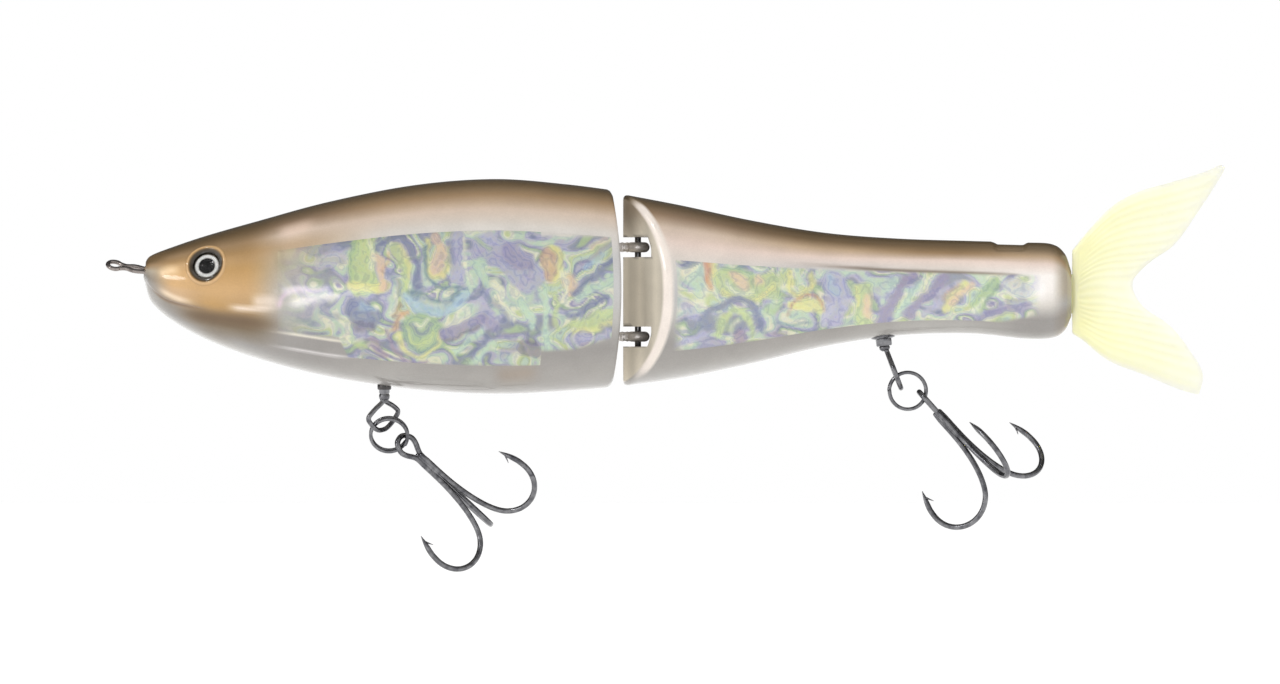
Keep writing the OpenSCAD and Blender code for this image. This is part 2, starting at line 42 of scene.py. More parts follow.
# ---------- camera (first) ----------
cam_data = bpy.data.cameras.new("camera")
cam_data.lens = 509.1
cam_data.sensor_width = 36
cam_data.clip_start = 0.05
cam_data.clip_end = 20
cam = bpy.data.objects.new("camera", cam_data)
cam.location = (0.08705, -3.0, -0.0127)
cam.rotation_euler = (math.pi / 2, 0, 0)
scene.collection.objects.link(cam)
scene.camera = cam

# ---------- the body's outlines, as in the part (mm) ----------
MM = 0.001
NOSE_X, LENGTH, DEPTH, HALF, POWER = 5.1, 153.4, 35.6, 11.8, 2 / 2.3
PIN_X = NOSE_X + 0.532 * LENGTH
FRONT_END = PIN_X - 2.75
FACE_X = PIN_X - 2.45
SLOT_Z, SLOT_HALF, SLOT_REACH, SLOT_DEPTH = (3.0, -11.8), 1.65, 7.98, 2.2
ARC_HALF, ARC_DEPTH = 16.376, 1.6
RECESS_R, RECESS_X = 30, PIN_X + 25.7
BEVEL_DEPTH, BEVEL_HALF = 0.0574 * LENGTH * 1.02, HALF * 1.02
FIN_SLOT_Z, FIN_SCALE = -4.73, 38.2
FLOOR_Z = -0.066
EYE_X, EYE_Z, EYE_YAW, EYE_TILT = NOSE_X + 0.0665 * LENGTH, 0.1, 13, 66
# stations of each section: share of the length, top and bottom in depths, share of the half width
FRONT = [
    [0.000, -0.001, -0.080, 0.076], [0.001, 0.023, -0.108, 0.169], [0.007, 0.048, -0.172, 0.280],
    [0.027, 0.082, -0.251, 0.449], [0.065, 0.137, -0.344, 0.644], [0.121, 0.206, -0.434, 0.814],
    [0.199, 0.297, -0.519, 0.941], [0.291, 0.374, -0.578, 0.996], [0.377, 0.402, -0.599, 1.000],
    [0.454, 0.378, -0.585, 0.975], [0.525, 0.338, -0.560, 0.932]]
REAR = [
    [0.506, 0.339, -0.568, 0.945], [0.578, 0.280, -0.525, 0.873], [0.656, 0.208, -0.456, 0.737],
    [0.734, 0.152, -0.377, 0.576], [0.812, 0.125, -0.327, 0.458], [0.890, 0.114, -0.317, 0.398],
    [0.949, 0.107, -0.341, 0.390], [0.979, 0.099, -0.338, 0.381], [0.993, 0.055, -0.304, 0.331],
    [1.000, -0.026, -0.240, 0.203]]


def spline(table, t):
    """Smooth curve through the rows of a table, at t rows along it."""
    rows = np.array(table, float)
    last = len(rows) - 1
    rows = np.vstack([2 * rows[0] - rows[1], rows, 2 * rows[-1] - rows[-2]])
    t = np.asarray(t, float)
    i = np.clip(np.floor(t).astype(int), 0, last - 1)
    u = (t - i)[..., None]
    a, b, c, d = rows[i], rows[i + 1], rows[i + 2], rows[i + 3]
    return 0.5 * (2 * b + (c - a) * u + (2 * a - 5 * b + 4 * c - d) * u * u
                  + (3 * b - a - 3 * c + d) * u ** 3)


def soft_power(v, power=POWER):
    """Power that keeps the sign: squares up an oval drawn with sine and cosine."""
    return np.sign(v) * np.abs(v) ** power


def skin(table, t, a, out=0.0):
    """Point of the right-hand skin at row t and angle a (radians, 0 at the back)."""
    r = spline(table, t)
    top, bottom, half = r[..., 1] * DEPTH + out, r[..., 2] * DEPTH - out, r[..., 3] * HALF + out
    y = half * soft_power(np.sin(a))
    z = (top + bottom) / 2 + (top - bottom) / 2 * soft_power(np.cos(a))
    return np.stack([NOSE_X + r[..., 0] * LENGTH + 0 * y, y, z], -1)


def solve(f, lo, hi):
    """Where f passes from negative to positive, for arrays of limits."""
    for _ in range(50):
        mid = (lo + hi) / 2
        below = f(mid) < 0
        lo = np.where(below, mid, lo)
        hi = np.where(below, hi, mid)
    return (lo + hi) / 2


def smooth(lo, hi, v):
    """Soft step from 0 at lo to 1 at hi."""
    u = np.clip((v - lo) / (hi - lo), 0, 1)
    return u * u * (3 - 2 * u)


# ---------- painting: x runs along the body and z up, in mm, seen from the side ----------
def polyline_distance(x, z, pts):
    """Distance to a line of points, and how far along the line (0 to 1) the nearest place is."""
    best, along = np.full(x.shape, 1e9), np.zeros(x.shape)
    for n, ((ax, az), (bx, bz)) in enumerate(zip(pts[:-1], pts[1:])):
        dx, dz = bx - ax, bz - az
        u = np.clip(((x - ax) * dx + (z - az) * dz) / max(dx * dx + dz * dz, 1e-9), 0, 1)
        d = np.hypot(x - ax - u * dx, z - az - u * dz)
        along = np.where(d < best, (n + u) / (len(pts) - 1), along)
        best = np.minimum(best, d)
    return best, along


def pairs(route):
    """A flat row x, z, x, z ... as points."""
    return list(zip(route[::2], route[1::2]))


def smooth_line(pts, per=6):
    if len(pts) < 3:
        return pts
    t = np.linspace(0, len(pts) - 1, per * (len(pts) - 1) + 1)
    return [tuple(p) for p in spline(pts, t)]


def stroke(colour, x, z, paint, width, pts, soft=0.5, strength=1.0):
    """Soft brush stroke that fades out at both ends."""
    d, s = polyline_distance(x, z, smooth_line(pts))
    m = (1 - smooth(width - soft / 2, width + soft / 2, d)) * smooth(0, 0.35, s) * (1 - smooth(0.65, 1, s))
    return colour * (1 - m[..., None] * strength) + np.array(paint, float) * m[..., None] * strength


EDGE, BARK, OLIVE, TAN = (84, 69, 45), (108, 86, 56), (116, 98, 72), (152, 124, 90)
COPPER, GOLD, HONEY, SAND = (166, 132, 86), (182, 142, 84), (202, 162, 110), (192, 160, 126)
BUFF, ROSE, SHEEN_PINK, PEARL = (188, 162, 132), (210, 190, 172), (228, 208, 196), (212, 206, 198)
LILAC, DRAB, FOG, STONE = (192, 191, 190), (173, 162, 144), (178, 175, 170), (162, 158, 153)
ASH, SMOKE, UMBER, SHINE = (148, 144, 140), (140, 131, 120), (134, 110, 86), (246, 240, 234)
# colours from belly to back at these shares of the height, at places along the body. They are paint with
# painted light in it: the pale band at 0.78 to 0.86 is a painted sheen, the pale middle at 155 a painted
# highlight on the end cap, the darker band at 0.2 painted shade where the body turns under, and the dark back
# edge paint deepened by painted shade
LEVELS = [0.0, 0.08, 0.2, 0.35, 0.5, 0.66, 0.78, 0.86, 0.93, 1.0]
BANDS = {
    5.5: [FOG, STONE, STONE, ASH, SMOKE, DRAB, TAN, BARK, BARK, BARK],
    10: [FOG, ASH, SMOKE, SAND, HONEY, HONEY, COPPER, TAN, BARK, EDGE],
    16.5: [FOG, SMOKE, OLIVE, GOLD, HONEY, GOLD, COPPER, TAN, BARK, EDGE],
    21.5: [FOG, ASH, OLIVE, COPPER, HONEY, GOLD, COPPER, TAN, BARK, EDGE],
    29: [STONE, ASH, ASH, STONE, FOG, DRAB, BUFF, ROSE, UMBER, EDGE],
    47: [STONE, STONE, ASH, FOG, LILAC, LILAC, PEARL, ROSE, TAN, EDGE],
    80: [STONE, STONE, ASH, FOG, LILAC, LILAC, PEARL, ROSE, TAN, EDGE],
    95: [FOG, STONE, ASH, FOG, LILAC, PEARL, SHEEN_PINK, ROSE, UMBER, EDGE],
    118: [FOG, STONE, ASH, FOG, LILAC, LILAC, SHEEN_PINK, BUFF, BARK, EDGE],
    138: [FOG, FOG, STONE, LILAC, PEARL, PEARL, SHEEN_PINK, TAN, BARK, EDGE],
    155: [FOG, ASH, ASH, PEARL, SHINE, SHINE, SHEEN_PINK, BUFF, OLIVE, EDGE],
    157.6: [DRAB, SMOKE, SMOKE, STONE, DRAB, DRAB, DRAB, TAN, OLIVE, BARK]}


def base_colour(table, p, t):
    """Colour of the bare shell, with the painted sheen, highlight and shade of the bands, from its place
    along the body and its height.
    """
    x, z = p[..., 0], p[..., 2]
    rows = spline(table, t)
    top, bottom = rows[..., 1] * DEPTH, rows[..., 2] * DEPTH
    v = np.clip((z - bottom) / (top - bottom), 0, 1)
    places = sorted(BANDS)
    bands = np.array([BANDS[k] for k in places], float)
    at = np.interp(x, places, np.arange(len(places)))
    i = np.clip(at.astype(int), 0, len(places) - 2)
    f = smooth(0, 1, at - i)
    out = np.zeros(p.shape)
    for k in range(len(places) - 1):
        m = i == k
        for c in range(3):
            a, b = (np.interp(v[m], LEVELS, bands[n, :, c]) for n in (k, k + 1))
            out[m, c] = a * (1 - f[m]) + b * f[m]
    return out, x, z


CHEEK_LINES = ([(24.7, -10.7), (30.7, -11.5), (36.7, -12.4), (42.3, -13)],
               [(24.4, -13), (30.7, -14), (36.3, -14.9), (41.3, -15.3)])
LIP = [(5.7, -3.1), (7.2, -4.7), (9.1, -5.9), (12.5, -6.8), (16.1, -7.4), (20.1, -7.8)]


# painted highlights, painted shade and other darker marks on the bare shell: colour, half width, points,
# softness, strength
HEAD_STROKES = [
    # painted highlights on the snout and along the upper lip
    ((252, 222, 180), .6, [(7.2, -1.9), (8.8, -1), (11.5, -.7)], 1.6, .75),
    ((252, 230, 200), .35, [(7, -3.6), (8.8, -4.7), (10.8, -5.6), (14.1, -6.4)], .9, .75),
    # a dark line along the mouth's crease, painted shade
    ((110, 84, 58), .2, LIP[:5], .6, .75),
    # a darker brown band under the lip, along the jaw
    ((100, 76, 48), .9, [(9, -7.2), (13.5, -8.3), (18, -8.9), (24, -9.6), (29, -10)], 1.8, .85),
    # the next four strokes are painted highlight bands on the cheek
    ((255, 240, 230), .35, [(18.1, -6.9), (22.4, -7.2), (28.4, -7.2)], 1.3, .85),
    ((252, 236, 224), .8, [(22.2, -6.2), (25.1, -5.9), (28.4, -6.1)], 1.8, .6),
    ((255, 248, 240), .8, [(28.4, -6.3), (31.7, -5.8), (35.7, -5.1)], 1.8, .8),
    ((236, 216, 234), .5, [(27.4, -4.4), (30.7, -4.1), (35, -4.2)], 1.3, .7),
    ((222, 190, 214), .35, [(27.2, -7.7), (27.8, -5.7), (29.2, -4)], .8, .6),
    # a painted highlight on the shoulder
    ((240, 212, 194), .85, [(26.7, 4.9), (30, 6), (34.3, 7.4)], 1.6, .5),
    ((150, 140, 108), 1.65, [(26.1, .6), (29, 1.2)], 2.6, .35),
    # pale painted highlights along the cheek's two faint creases
    ((246, 238, 218), .2, CHEEK_LINES[0], .5, .8), ((236, 230, 230), .2, CHEEK_LINES[1], .5, .8),
    # painted shadow of the ballast, seen through the belly
    ((152, 122, 92), 1.2, [(61.9, -18.3), (66.5, -18), (71.5, -17.5)], 3, .3)]
# on the tail section: the foil's dark top edge, a painted highlight on the end cap and painted shade at the
# rear hanger's opening
TAIL_STROKES = [
    ((86, 70, 52), .25, [(110, .4), (122, -.4), (130, -.9), (146.7, -1.5), (152.3, -1.9)], .5, .6),
    ((250, 246, 244), 1.5, [(149, -3.5), (152, -3.8), (155, -4.3)], 2.8, .8),
    ((120, 114, 108), .6, [(125.2, -12.9), (127.5, -12.5)], .7, .7)]


def shell_paint(table, p, t):
    colour, x, z = base_colour(table, p, t)
    for one in HEAD_STROKES if table is FRONT else TAIL_STROKES:
        colour = stroke(colour, x, z, *one)
    return colour


LIME, YELLOW, PEACH, ORANGE = (198, 216, 148), (228, 224, 142), (230, 196, 166), (222, 176, 134)
LAVENDER, PURPLE, SLATE, TEAL = (178, 176, 208), (158, 150, 188), (140, 148, 178), (128, 156, 168)
MINT, GREEN, CREAM, MAUVE = (188, 216, 190), (172, 202, 150), (228, 228, 196), (168, 148, 172)
DUSK, SILVER, BROWN, SKY = (132, 122, 146), (206, 208, 206), (172, 134, 104), (164, 196, 216)

# each brush stroke on the foils: colour, half width, strength, then x and z of its points
FRONT_STROKES = [
    (SLATE, 1, .55, 32, 2.5, 35, 3, 38, 3.5), (LAVENDER, 1.35, .6, 34.5, .5, 37.5, 1.5),
    (PURPLE, .65, .45, 35.5, -2, 38.5, -2.5), (GREEN, .35, .4, 29, 2.5, 30.5, 4, 31.5, 4),
    (GREEN, .35, .4, 28.5, -1, 30.5, 0, 32.5, -1, 34.5, -1), (TEAL, .65, .5, 30.5, -9, 33.5, -9.5),
    (GREEN, .5, .4, 27.5, -10, 30, -10), (SLATE, .65, .5, 34.5, -7.5, 37, -8.5),
    (LIME, 2.15, .9, 41.5, 5, 41, .5, 41.5, -3.5), (YELLOW, 1, .9, 39.5, -3.5, 42.5, -4, 45, -3.5),
    (PEACH, .85, .9, 43.5, 1.5, 44.5, -1, 44.5, -3.5), (ORANGE, .35, .6, 45.5, 2, 45, -1),
    (GREEN, .5, .6, 39.5, 4, 39.5, .5, 39.5, -2.5), (CREAM, .4, .7, 42.5, 4, 43, 2, 42.5, -.5),
    (SLATE, .6, .9, 44, 3, 45.5, 4.5, 47, 5, 48.5, 3.5, 49.5, 1.5, 50.5, -1, 50.5, -4),
    (LIME, .85, .8, 46.5, 3, 47.5, 1, 48.5, -2, 48.5, -4.5), (YELLOW, .4, .7, 47.5, 3, 48.5, 1, 49, -1.5),
    (SLATE, .5, .5, 46, -1, 47, -3, 47.5, -5), (PEACH, 1, .85, 53.5, 5, 54, 2, 53.5, -1),
    (YELLOW, .45, .9, 52, 4.5, 52, .5, 53.5, -2, 55, -.5, 55.5, 3),
    (TEAL, .35, .9, 51.5, 3, 52, -.5, 53, -3, 55, -4, 58, -4),
    (LAVENDER, 1.15, .85, 57, 5, 56.5, 1.5, 57, -2), (SLATE, .5, .5, 55.5, 4, 55.5, .5),
    (CREAM, .35, .7, 58, 4, 58.5, .5, 59, -3), (LAVENDER, 2.65, .85, 62, 3, 66.5, .5, 68.5, -2),
    (PURPLE, 1.35, .7, 65.5, 2.5, 68, 0), (MINT, .75, .9, 60.5, .5, 61, -1, 62, -3),
    (CREAM, .7, .9, 63, -2.5, 64, -4, 64.5, -5.5), (CREAM, .65, .8, 64, -7, 66, -8.5),
    (MINT, .75, .9, 67.5, -6, 68.5, -8, 69, -10), (SLATE, .5, .6, 59.5, -4.5, 62, -5.5, 64, -7.5, 66, -9.5),
    (GREEN, .35, .6, 60, 4, 62, 3), (PURPLE, .85, .6, 61.5, -9, 64, -11, 66, -12),
    (SKY, .85, .85, 49, -5.5, 51, -7, 53.5, -7.5, 56, -6.5, 58, -5.5),
    (TEAL, .4, .9, 49.5, -4.5, 51.5, -6, 54, -6.5, 57, -5), (CREAM, .25, .6, 50.5, -5.5, 53, -7, 55.5, -6),
    (SLATE, 1.8, .85, 40.5, -7.5, 42.5, -9), (DUSK, .85, .5, 40, -9.5, 42.5, -10.5),
    (SKY, .4, .6, 41, -6.5, 43, -7.5), (GREEN, 3, .85, 50.5, -10.5, 52, -11.5),
    (YELLOW, .45, .9, 47, -11.5, 48, -13.5, 50.5, -15, 53, -13.5, 54.5, -11.5),
    (LIME, .45, .9, 48.5, -10.5, 49.5, -12.5, 51, -13, 53, -11.5),
    (MAUVE, .35, .8, 45.5, -10.5, 46.5, -13.5, 49, -16, 52, -16),
    (ORANGE, .45, .9, 48.5, -7.5, 47, -8.5, 46.5, -10.5), (BROWN, .25, .7, 47.5, -6.5, 46, -8.5),
    (SLATE, .35, .6, 49.5, -9.5, 51, -11.5, 53, -10), (CREAM, .35, .8, 50, -9.5, 51, -10, 52.5, -9),
    (TEAL, .25, .55, 48, -9.5, 48.5, -12, 51, -14, 53.5, -12.5),
    (PURPLE, .85, .85, 55, -11.5, 58, -10, 61, -8.5), (DUSK, .35, .7, 55, -12.5, 57.5, -11.5, 60.5, -10),
    (MINT, .55, .9, 56, -14.5, 58.5, -13, 61, -11), (SLATE, .45, .8, 56.5, -16, 59.5, -14.5, 62, -12),
    (MINT, .5, .85, 59, -16.5, 61.5, -14.5, 63, -13), (LIME, .35, .7, 55, -14, 56.5, -15.5),
    (DUSK, 1.35, .6, 68, -13.5, 69.5, -14), (PURPLE, .65, .6, 64, -14.5, 66.5, -13.5),
    (MAUVE, .85, .7, 42.5, -13, 44.5, -14.5), (PURPLE, .65, .55, 40.5, -14.5, 43.5, -15.5),
    (LIME, .65, .6, 40, -12, 41.5, -13.5), (CREAM, .35, .5, 39, -11.5, 41, -12),
    (ORANGE, 1.35, .75, 72, 1.5, 72, -1), (YELLOW, .65, .85, 73, 2.5, 74, 0, 73, -2),
    (PEACH, 1.1, .85, 75, -2.5, 76, -4), (CREAM, .45, .8, 74, -1, 75, -4, 74, -6),
    (MINT, .55, .9, 71.5, -3.5, 71.5, -8.5, 72, -13.5), (LIME, .5, .8, 73, -5, 73.5, -7.5, 73, -10.5),
    (SLATE, .55, .9, 76.5, -4.5, 79, -2.5, 81.5, 0, 83, 1.5),
    (SLATE, .5, .9, 75.5, -8.5, 78.5, -7, 81.5, -5), (PURPLE, .5, .6, 77.5, .5, 80, 2, 82.5, 3.5),
    (MINT, .65, .9, 77, -5.5, 79.5, -4, 82.5, -2), (SKY, .45, .7, 78, -.5, 80.5, 1.5),
    (LIME, 1.15, .85, 77, -10, 80, -9, 82.5, -8.5), (YELLOW, .45, .7, 76, -11.5, 79, -10.5, 82, -10),
    (LAVENDER, .6, .7, 75, -12.5, 78, -12.5, 81, -11.5), (PEACH, .5, .6, 79, 3.5, 81, 4),
    # the last two strokes are painted highlight bands from the cheek, running on over the foil
    (SHINE, .55, .8, 26, -6.7, 31, -6.1, 37, -5.2),
    ((236, 216, 234), .45, .6, 27.4, -4.4, 31, -4.1, 35.5, -4.2)]

REAR_STROKES = [
    (SLATE, .85, .8, 94.5, .5, 96.5, 1), (ORANGE, .65, .95, 98.5, 1, 98.5, -3),
    ((226, 150, 120), .3, .8, 98, 1, 98, -2.5), (YELLOW, .5, .85, 99.5, 1, 99.5, -2),
    (MINT, .65, .7, 95.5, -2, 96.5, -4.5), (LAVENDER, .85, .6, 94.5, -6.5, 96.5, -8.5),
    (LIME, 2.15, .85, 101.5, -3, 105.5, -4, 108.5, -3.5),
    (PEACH, .75, .85, 102.5, -2, 104.5, -3, 106.5, -2.5),
    (YELLOW, .4, .9, 100.5, -4.5, 103, -5.5, 106.5, -5.5, 109, -3.5),
    (TEAL, .35, .9, 103, -.5, 105.5, .5, 108, 0), (GREEN, .45, .8, 101, -1, 103, -1, 105, -1.5, 105.5, -3.5),
    (CREAM, .35, .8, 101.5, -3.5, 103.5, -4.5, 105.5, -4),
    (SLATE, .65, .95, 97.5, -11, 98.5, -8.5, 100.5, -6.5, 103.5, -5.5, 105.5, -6.5, 107.5, -10.5),
    (LIME, .6, .9, 99.5, -11.5, 100.5, -9, 103, -7.5, 105, -9, 105.5, -11.5),
    (MAUVE, .85, .85, 103, -11.5, 103.5, -12.5), (CREAM, .25, .7, 101.5, -12, 102, -10, 103.5, -9.5),
    (LAVENDER, .6, .85, 92.5, -13.5, 95, -12.5, 97.5, -11.5), (SLATE, .3, .7, 92.5, -11.5, 95.5, -11),
    (YELLOW, .5, .9, 111.5, -1.5, 112, -3.5, 113.5, -5, 115.5, -3.5, 115.5, -1.5),
    (MINT, .5, .8, 113, -1, 113.5, -3), (YELLOW, .85, .85, 112, -6.5, 114.5, -6.5, 117, -7),
    ((206, 140, 120), .2, .8, 111.5, -8, 113, -5.5, 116, -5.5, 117.5, -7.5),
    (LAVENDER, 2, .85, 119, -3, 120, -5.5, 119, -8.5), (SKY, .5, .6, 118, -2.5, 119.5, -4.5),
    (LIME, 1.35, .85, 124, -4, 124, -7, 124, -9.5), (PEACH, .6, .85, 124.5, -5.5, 125, -8),
    (YELLOW, .35, .8, 123, -3.5, 123, -6.5), (TEAL, .3, .6, 109.5, -9.5, 112, -10, 115, -9.5),
    (GREEN, .5, .7, 108, -7.5, 109.5, -6.5, 110.5, -4.5), (MAUVE, .5, .5, 108.5, -11.5, 111, -11.5),
    (PURPLE, .9, .95, 126.5, -10, 128, -7.5, 129.5, -5, 130.5, -3, 132.5, -1.5),
    (PURPLE, .6, .9, 127, -10.5, 129, -8.5), (MINT, .55, .85, 129.5, -8.5, 131.5, -5.5, 133.5, -3),
    (PURPLE, .85, .95, 131.5, -8, 133.5, -6, 135.5, -4, 137.5, -1.5),
    (LAVENDER, .5, .8, 134, -8.5, 136, -6.5, 138, -4), (YELLOW, .85, .85, 137.5, -7.5, 139, -5.5, 141, -3),
    (PEACH, .55, .8, 138.5, -6.5, 140.5, -4.5, 142.5, -3), (ORANGE, .25, .6, 137.5, -5.5, 139.5, -3.5),
    (GREEN, 1, .85, 143, -6.5, 144.5, -4.5, 145.5, -3), (CREAM, .35, .8, 142, -7.5, 144, -5.5),
    (PURPLE, .65, .85, 143, -8.5, 147, -7.5, 151.5, -6.5),
    (PURPLE, .45, .6, 145, -6.5, 148.5, -6, 151, -5.5), (MINT, .45, .7, 127.5, -4, 129, -2.5),
    # a pale painted highlight where the foil meets the end cap's highlight
    (SILVER, 1.35, .8, 148.5, -3.5, 151, -4)]


def marble(x, z, seed):
    """Marbled pearl under the strokes: warped noise looked up in a soft palette."""
    palette = np.array([LAVENDER, SLATE, MINT, LIME, CREAM, MINT, LAVENDER, SLATE, GREEN, CREAM, PURPLE,
                        LAVENDER], float)
    value = np.zeros(x.shape)
    for idx in np.ndindex(x.shape):
        a, b = x[idx] / 5, z[idx] / 4
        warp = [noise.noise(Vector((a, b, seed + k))) for k in (0, 9)]
        value[idx] = noise.noise(Vector((a + warp[0] * 1.2, b + warp[1] * 1.2, seed + 4)))
    v = np.clip(value * 0.7 + 0.5, 0, 0.999) * (len(palette) - 1)
    i = v.astype(int)
    f = smooth(0.15, 0.85, v - i)[..., None]
    return palette[i] * (1 - f) + palette[i + 1] * f, value


def foil_colour(base, x, z, strokes, seed, level):
    """The foil's colours, and the distance field that its fine lines follow."""
    wob = np.zeros((2,) + x.shape)
    for idx in np.ndindex(x.shape):
        q = Vector((x[idx] / 3.2, z[idx] / 3.2, seed))
        r = q * 2.6
        wob[0][idx] = noise.noise(q) * 0.9 + noise.noise(r) * 0.3
        wob[1][idx] = noise.noise(q + Vector((5, 7, 3))) * 0.9 + noise.noise(r + Vector((2, 4, 6))) * 0.3
    sx, sz = x + wob[0], z + wob[1]
    c, value = marble(x, z, seed)
    c = c * 0.8 + base * 0.2
    flow = value * 5
    for paint, width, strength, *route in strokes:
        d = polyline_distance(sx, sz, smooth_line(pairs(route)))[0]
        m = (1 - smooth(width - 0.45, width + 0.4, d)) * strength
        c = c * (1 - m[..., None]) + np.array(paint, float) * m[..., None]
        flow = flow * (1 - m) + (d + width) * m
    grey = c.mean(-1, keepdims=True)
    return level + (grey + (c - grey) * 0.66 - 190) * 1.15, flow


def linear(c, gain=1.0):
    """Colours of 0 to 255 in the linear values that Blender wants."""
    c = np.clip(np.asarray(c, float) / 255, 0, 1)
    return np.where(c <= 0.04045, c / 12.92, ((c + 0.055) / 1.055) ** 2.4) * gain


# ---------- mesh helpers ----------
class Mesh:
    def __init__(self, gain=0.92):
        self.verts, self.faces, self.colours, self.masks, self.flows = [], [], [], [], []
        self.gain = gain

    def add(self, points, colours=None, mask=0.0, flow=0.0):
        start = len(self.verts)
        points = np.asarray(points, float).reshape(-1, 3)
        self.verts.extend(map(tuple, points))
        if colours is None:
            colours = np.full((len(points), 3), 128.0)
        self.colours.extend(map(tuple, np.asarray(colours, float).reshape(-1, 3)))
        self.masks.extend(np.broadcast_to(np.asarray(mask, float).ravel(), (len(points),)))
        self.flows.extend(np.broadcast_to(np.asarray(flow, float).ravel(), (len(points),)))
        return start

    def grid(self, points, colours=None, mask=0.0, flow=0.0, wrap=False, skip=None):
        """A sheet of quads over an array [rows, columns, 3]."""
        rows, cols = points.shape[:2]
        s = self.add(points, colours, mask, flow)
        for i in range(rows - 1):
            for k in range(cols if wrap else cols - 1):
                if skip is None or not skip(i, k):
                    n = (k + 1) % cols
                    self.faces.append((s + i * cols + k, s + i * cols + n,
                                       s + (i + 1) * cols + n, s + (i + 1) * cols + k))
        return s

    def data(self, name, fill=False, weld=0.002):
        """Blender mesh in metres, with its paint, welded and with its faces turned outward."""
        me = bpy.data.meshes.new(name)
        me.from_pydata([(x * MM, y * MM, z * MM) for x, y, z in self.verts], [], self.faces)
        col = me.color_attributes.new("paint", "FLOAT_COLOR", "POINT")
        rgb = linear(np.array(self.colours), self.gain)
        col.data.foreach_set("color", np.c_[rgb, np.ones(len(rgb))].ravel())
        for key, values in (("mask", self.masks), ("flow", self.flows)):
            me.attributes.new(key, "FLOAT", "POINT").data.foreach_set("value", np.array(values, float))
        bm = bmesh.new()
        bm.from_mesh(me)
        bmesh.ops.remove_doubles(bm, verts=bm.verts, dist=weld * MM)
        bmesh.ops.dissolve_degenerate(bm, dist=1e-7, edges=bm.edges)
        if fill:
            open_edges = [e for e in bm.edges if e.is_boundary]
            made = bmesh.ops.holes_fill(bm, edges=open_edges, sides=0)["faces"]
            bmesh.ops.triangulate(bm, faces=made, ngon_method="EAR_CLIP")
        bmesh.ops.recalc_face_normals(bm, faces=bm.faces)
        bm.to_mesh(me)
        bm.free()
        return me

    def object(self, name, material, body, replaces=(), slot=None, sharp=35, fill=False, weld=0.002):
        """Piece of the visual model, riding on its body."""
        me = self.data(name, fill, weld)
        me.shade_smooth()
        me.set_sharp_from_angle(angle=math.radians(sharp))
        me.materials.append(material)
        ob = bpy.data.objects.new(name, me)
        scene.collection.objects.link(ob)
        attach(ob, body)
        if replaces:
            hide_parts(*replaces)
        return ob


def place(matrix, points):
    p = np.asarray(points, float)
    m = np.array(matrix)
    return p @ m[:3, :3].T + m[:3, 3]


def turn(axis, degrees):
    return Matrix.Rotation(math.radians(degrees), 4, axis)


def move(x, y, z):
    return Matrix.Translation((x, y, z))


def full_turn(steps):
    return np.linspace(0, 2 * math.pi, steps, endpoint=False)


def tube(mesh, path, radii, sides=14, closed=False):
    """Round wire swept along a path without twisting, with domed ends."""
    p = np.asarray(path, float)
    r = np.broadcast_to(np.asarray(radii, float), (len(p),)).copy()
    if closed:
        d = np.roll(p, -1, 0) - np.roll(p, 1, 0)
    else:
        d = np.gradient(p, axis=0)
    d /= np.linalg.norm(d, axis=1)[:, None]
    n = np.cross(d[0], [0.3, 0.2, 0.93])
    n /= np.linalg.norm(n)
    a = full_turn(sides)
    rings, normals = [], []
    for i in range(len(p)):
        n = n - d[i] * np.dot(n, d[i])
        n /= np.linalg.norm(n)
        normals.append(n.copy())
    if closed:
        # spread the leftover twist evenly
        end = normals[-1] - d[0] * np.dot(normals[-1], d[0])
        twist = math.atan2(np.dot(np.cross(end, normals[0]), d[0]), np.dot(end, normals[0]))
    else:
        twist = 0
    for i in range(len(p)):
        w = np.cross(d[i], normals[i])
        b = a + twist * i / len(p)
        rings.append(p[i] + r[i] * (np.cos(b)[:, None] * normals[i] + np.sin(b)[:, None] * w))
    if not closed:
        def dome(i, sign):
            out = []
            for f in (30, 60, 89):
                c, s = math.cos(math.radians(f)), math.sin(math.radians(f))
                out.append(p[i] + (rings[i] - p[i]) * c + sign * d[i] * r[i] * s * 0.8)
            return out
        rings = dome(0, -1)[::-1] + rings + dome(-1, 1)
    else:
        rings.append(rings[0])
    g = np.array(rings)
    mesh.grid(g, wrap=True)
    if not closed:
        for ring, flip in ((g[0], True), (g[-1], False)):
            s = mesh.add(ring)
            f = tuple(range(s, s + sides))
            mesh.faces.append(f[::-1] if flip else f)


def lathe(mesh, profile, matrix, steps=40):
    """Closed ring or round body: profile is (radius, height) from bottom middle to top middle."""
    g = np.array([[(r * math.cos(b), r * math.sin(b), h) for b in full_turn(steps)] for r, h in profile])
    mesh.grid(place(matrix, g), wrap=True)


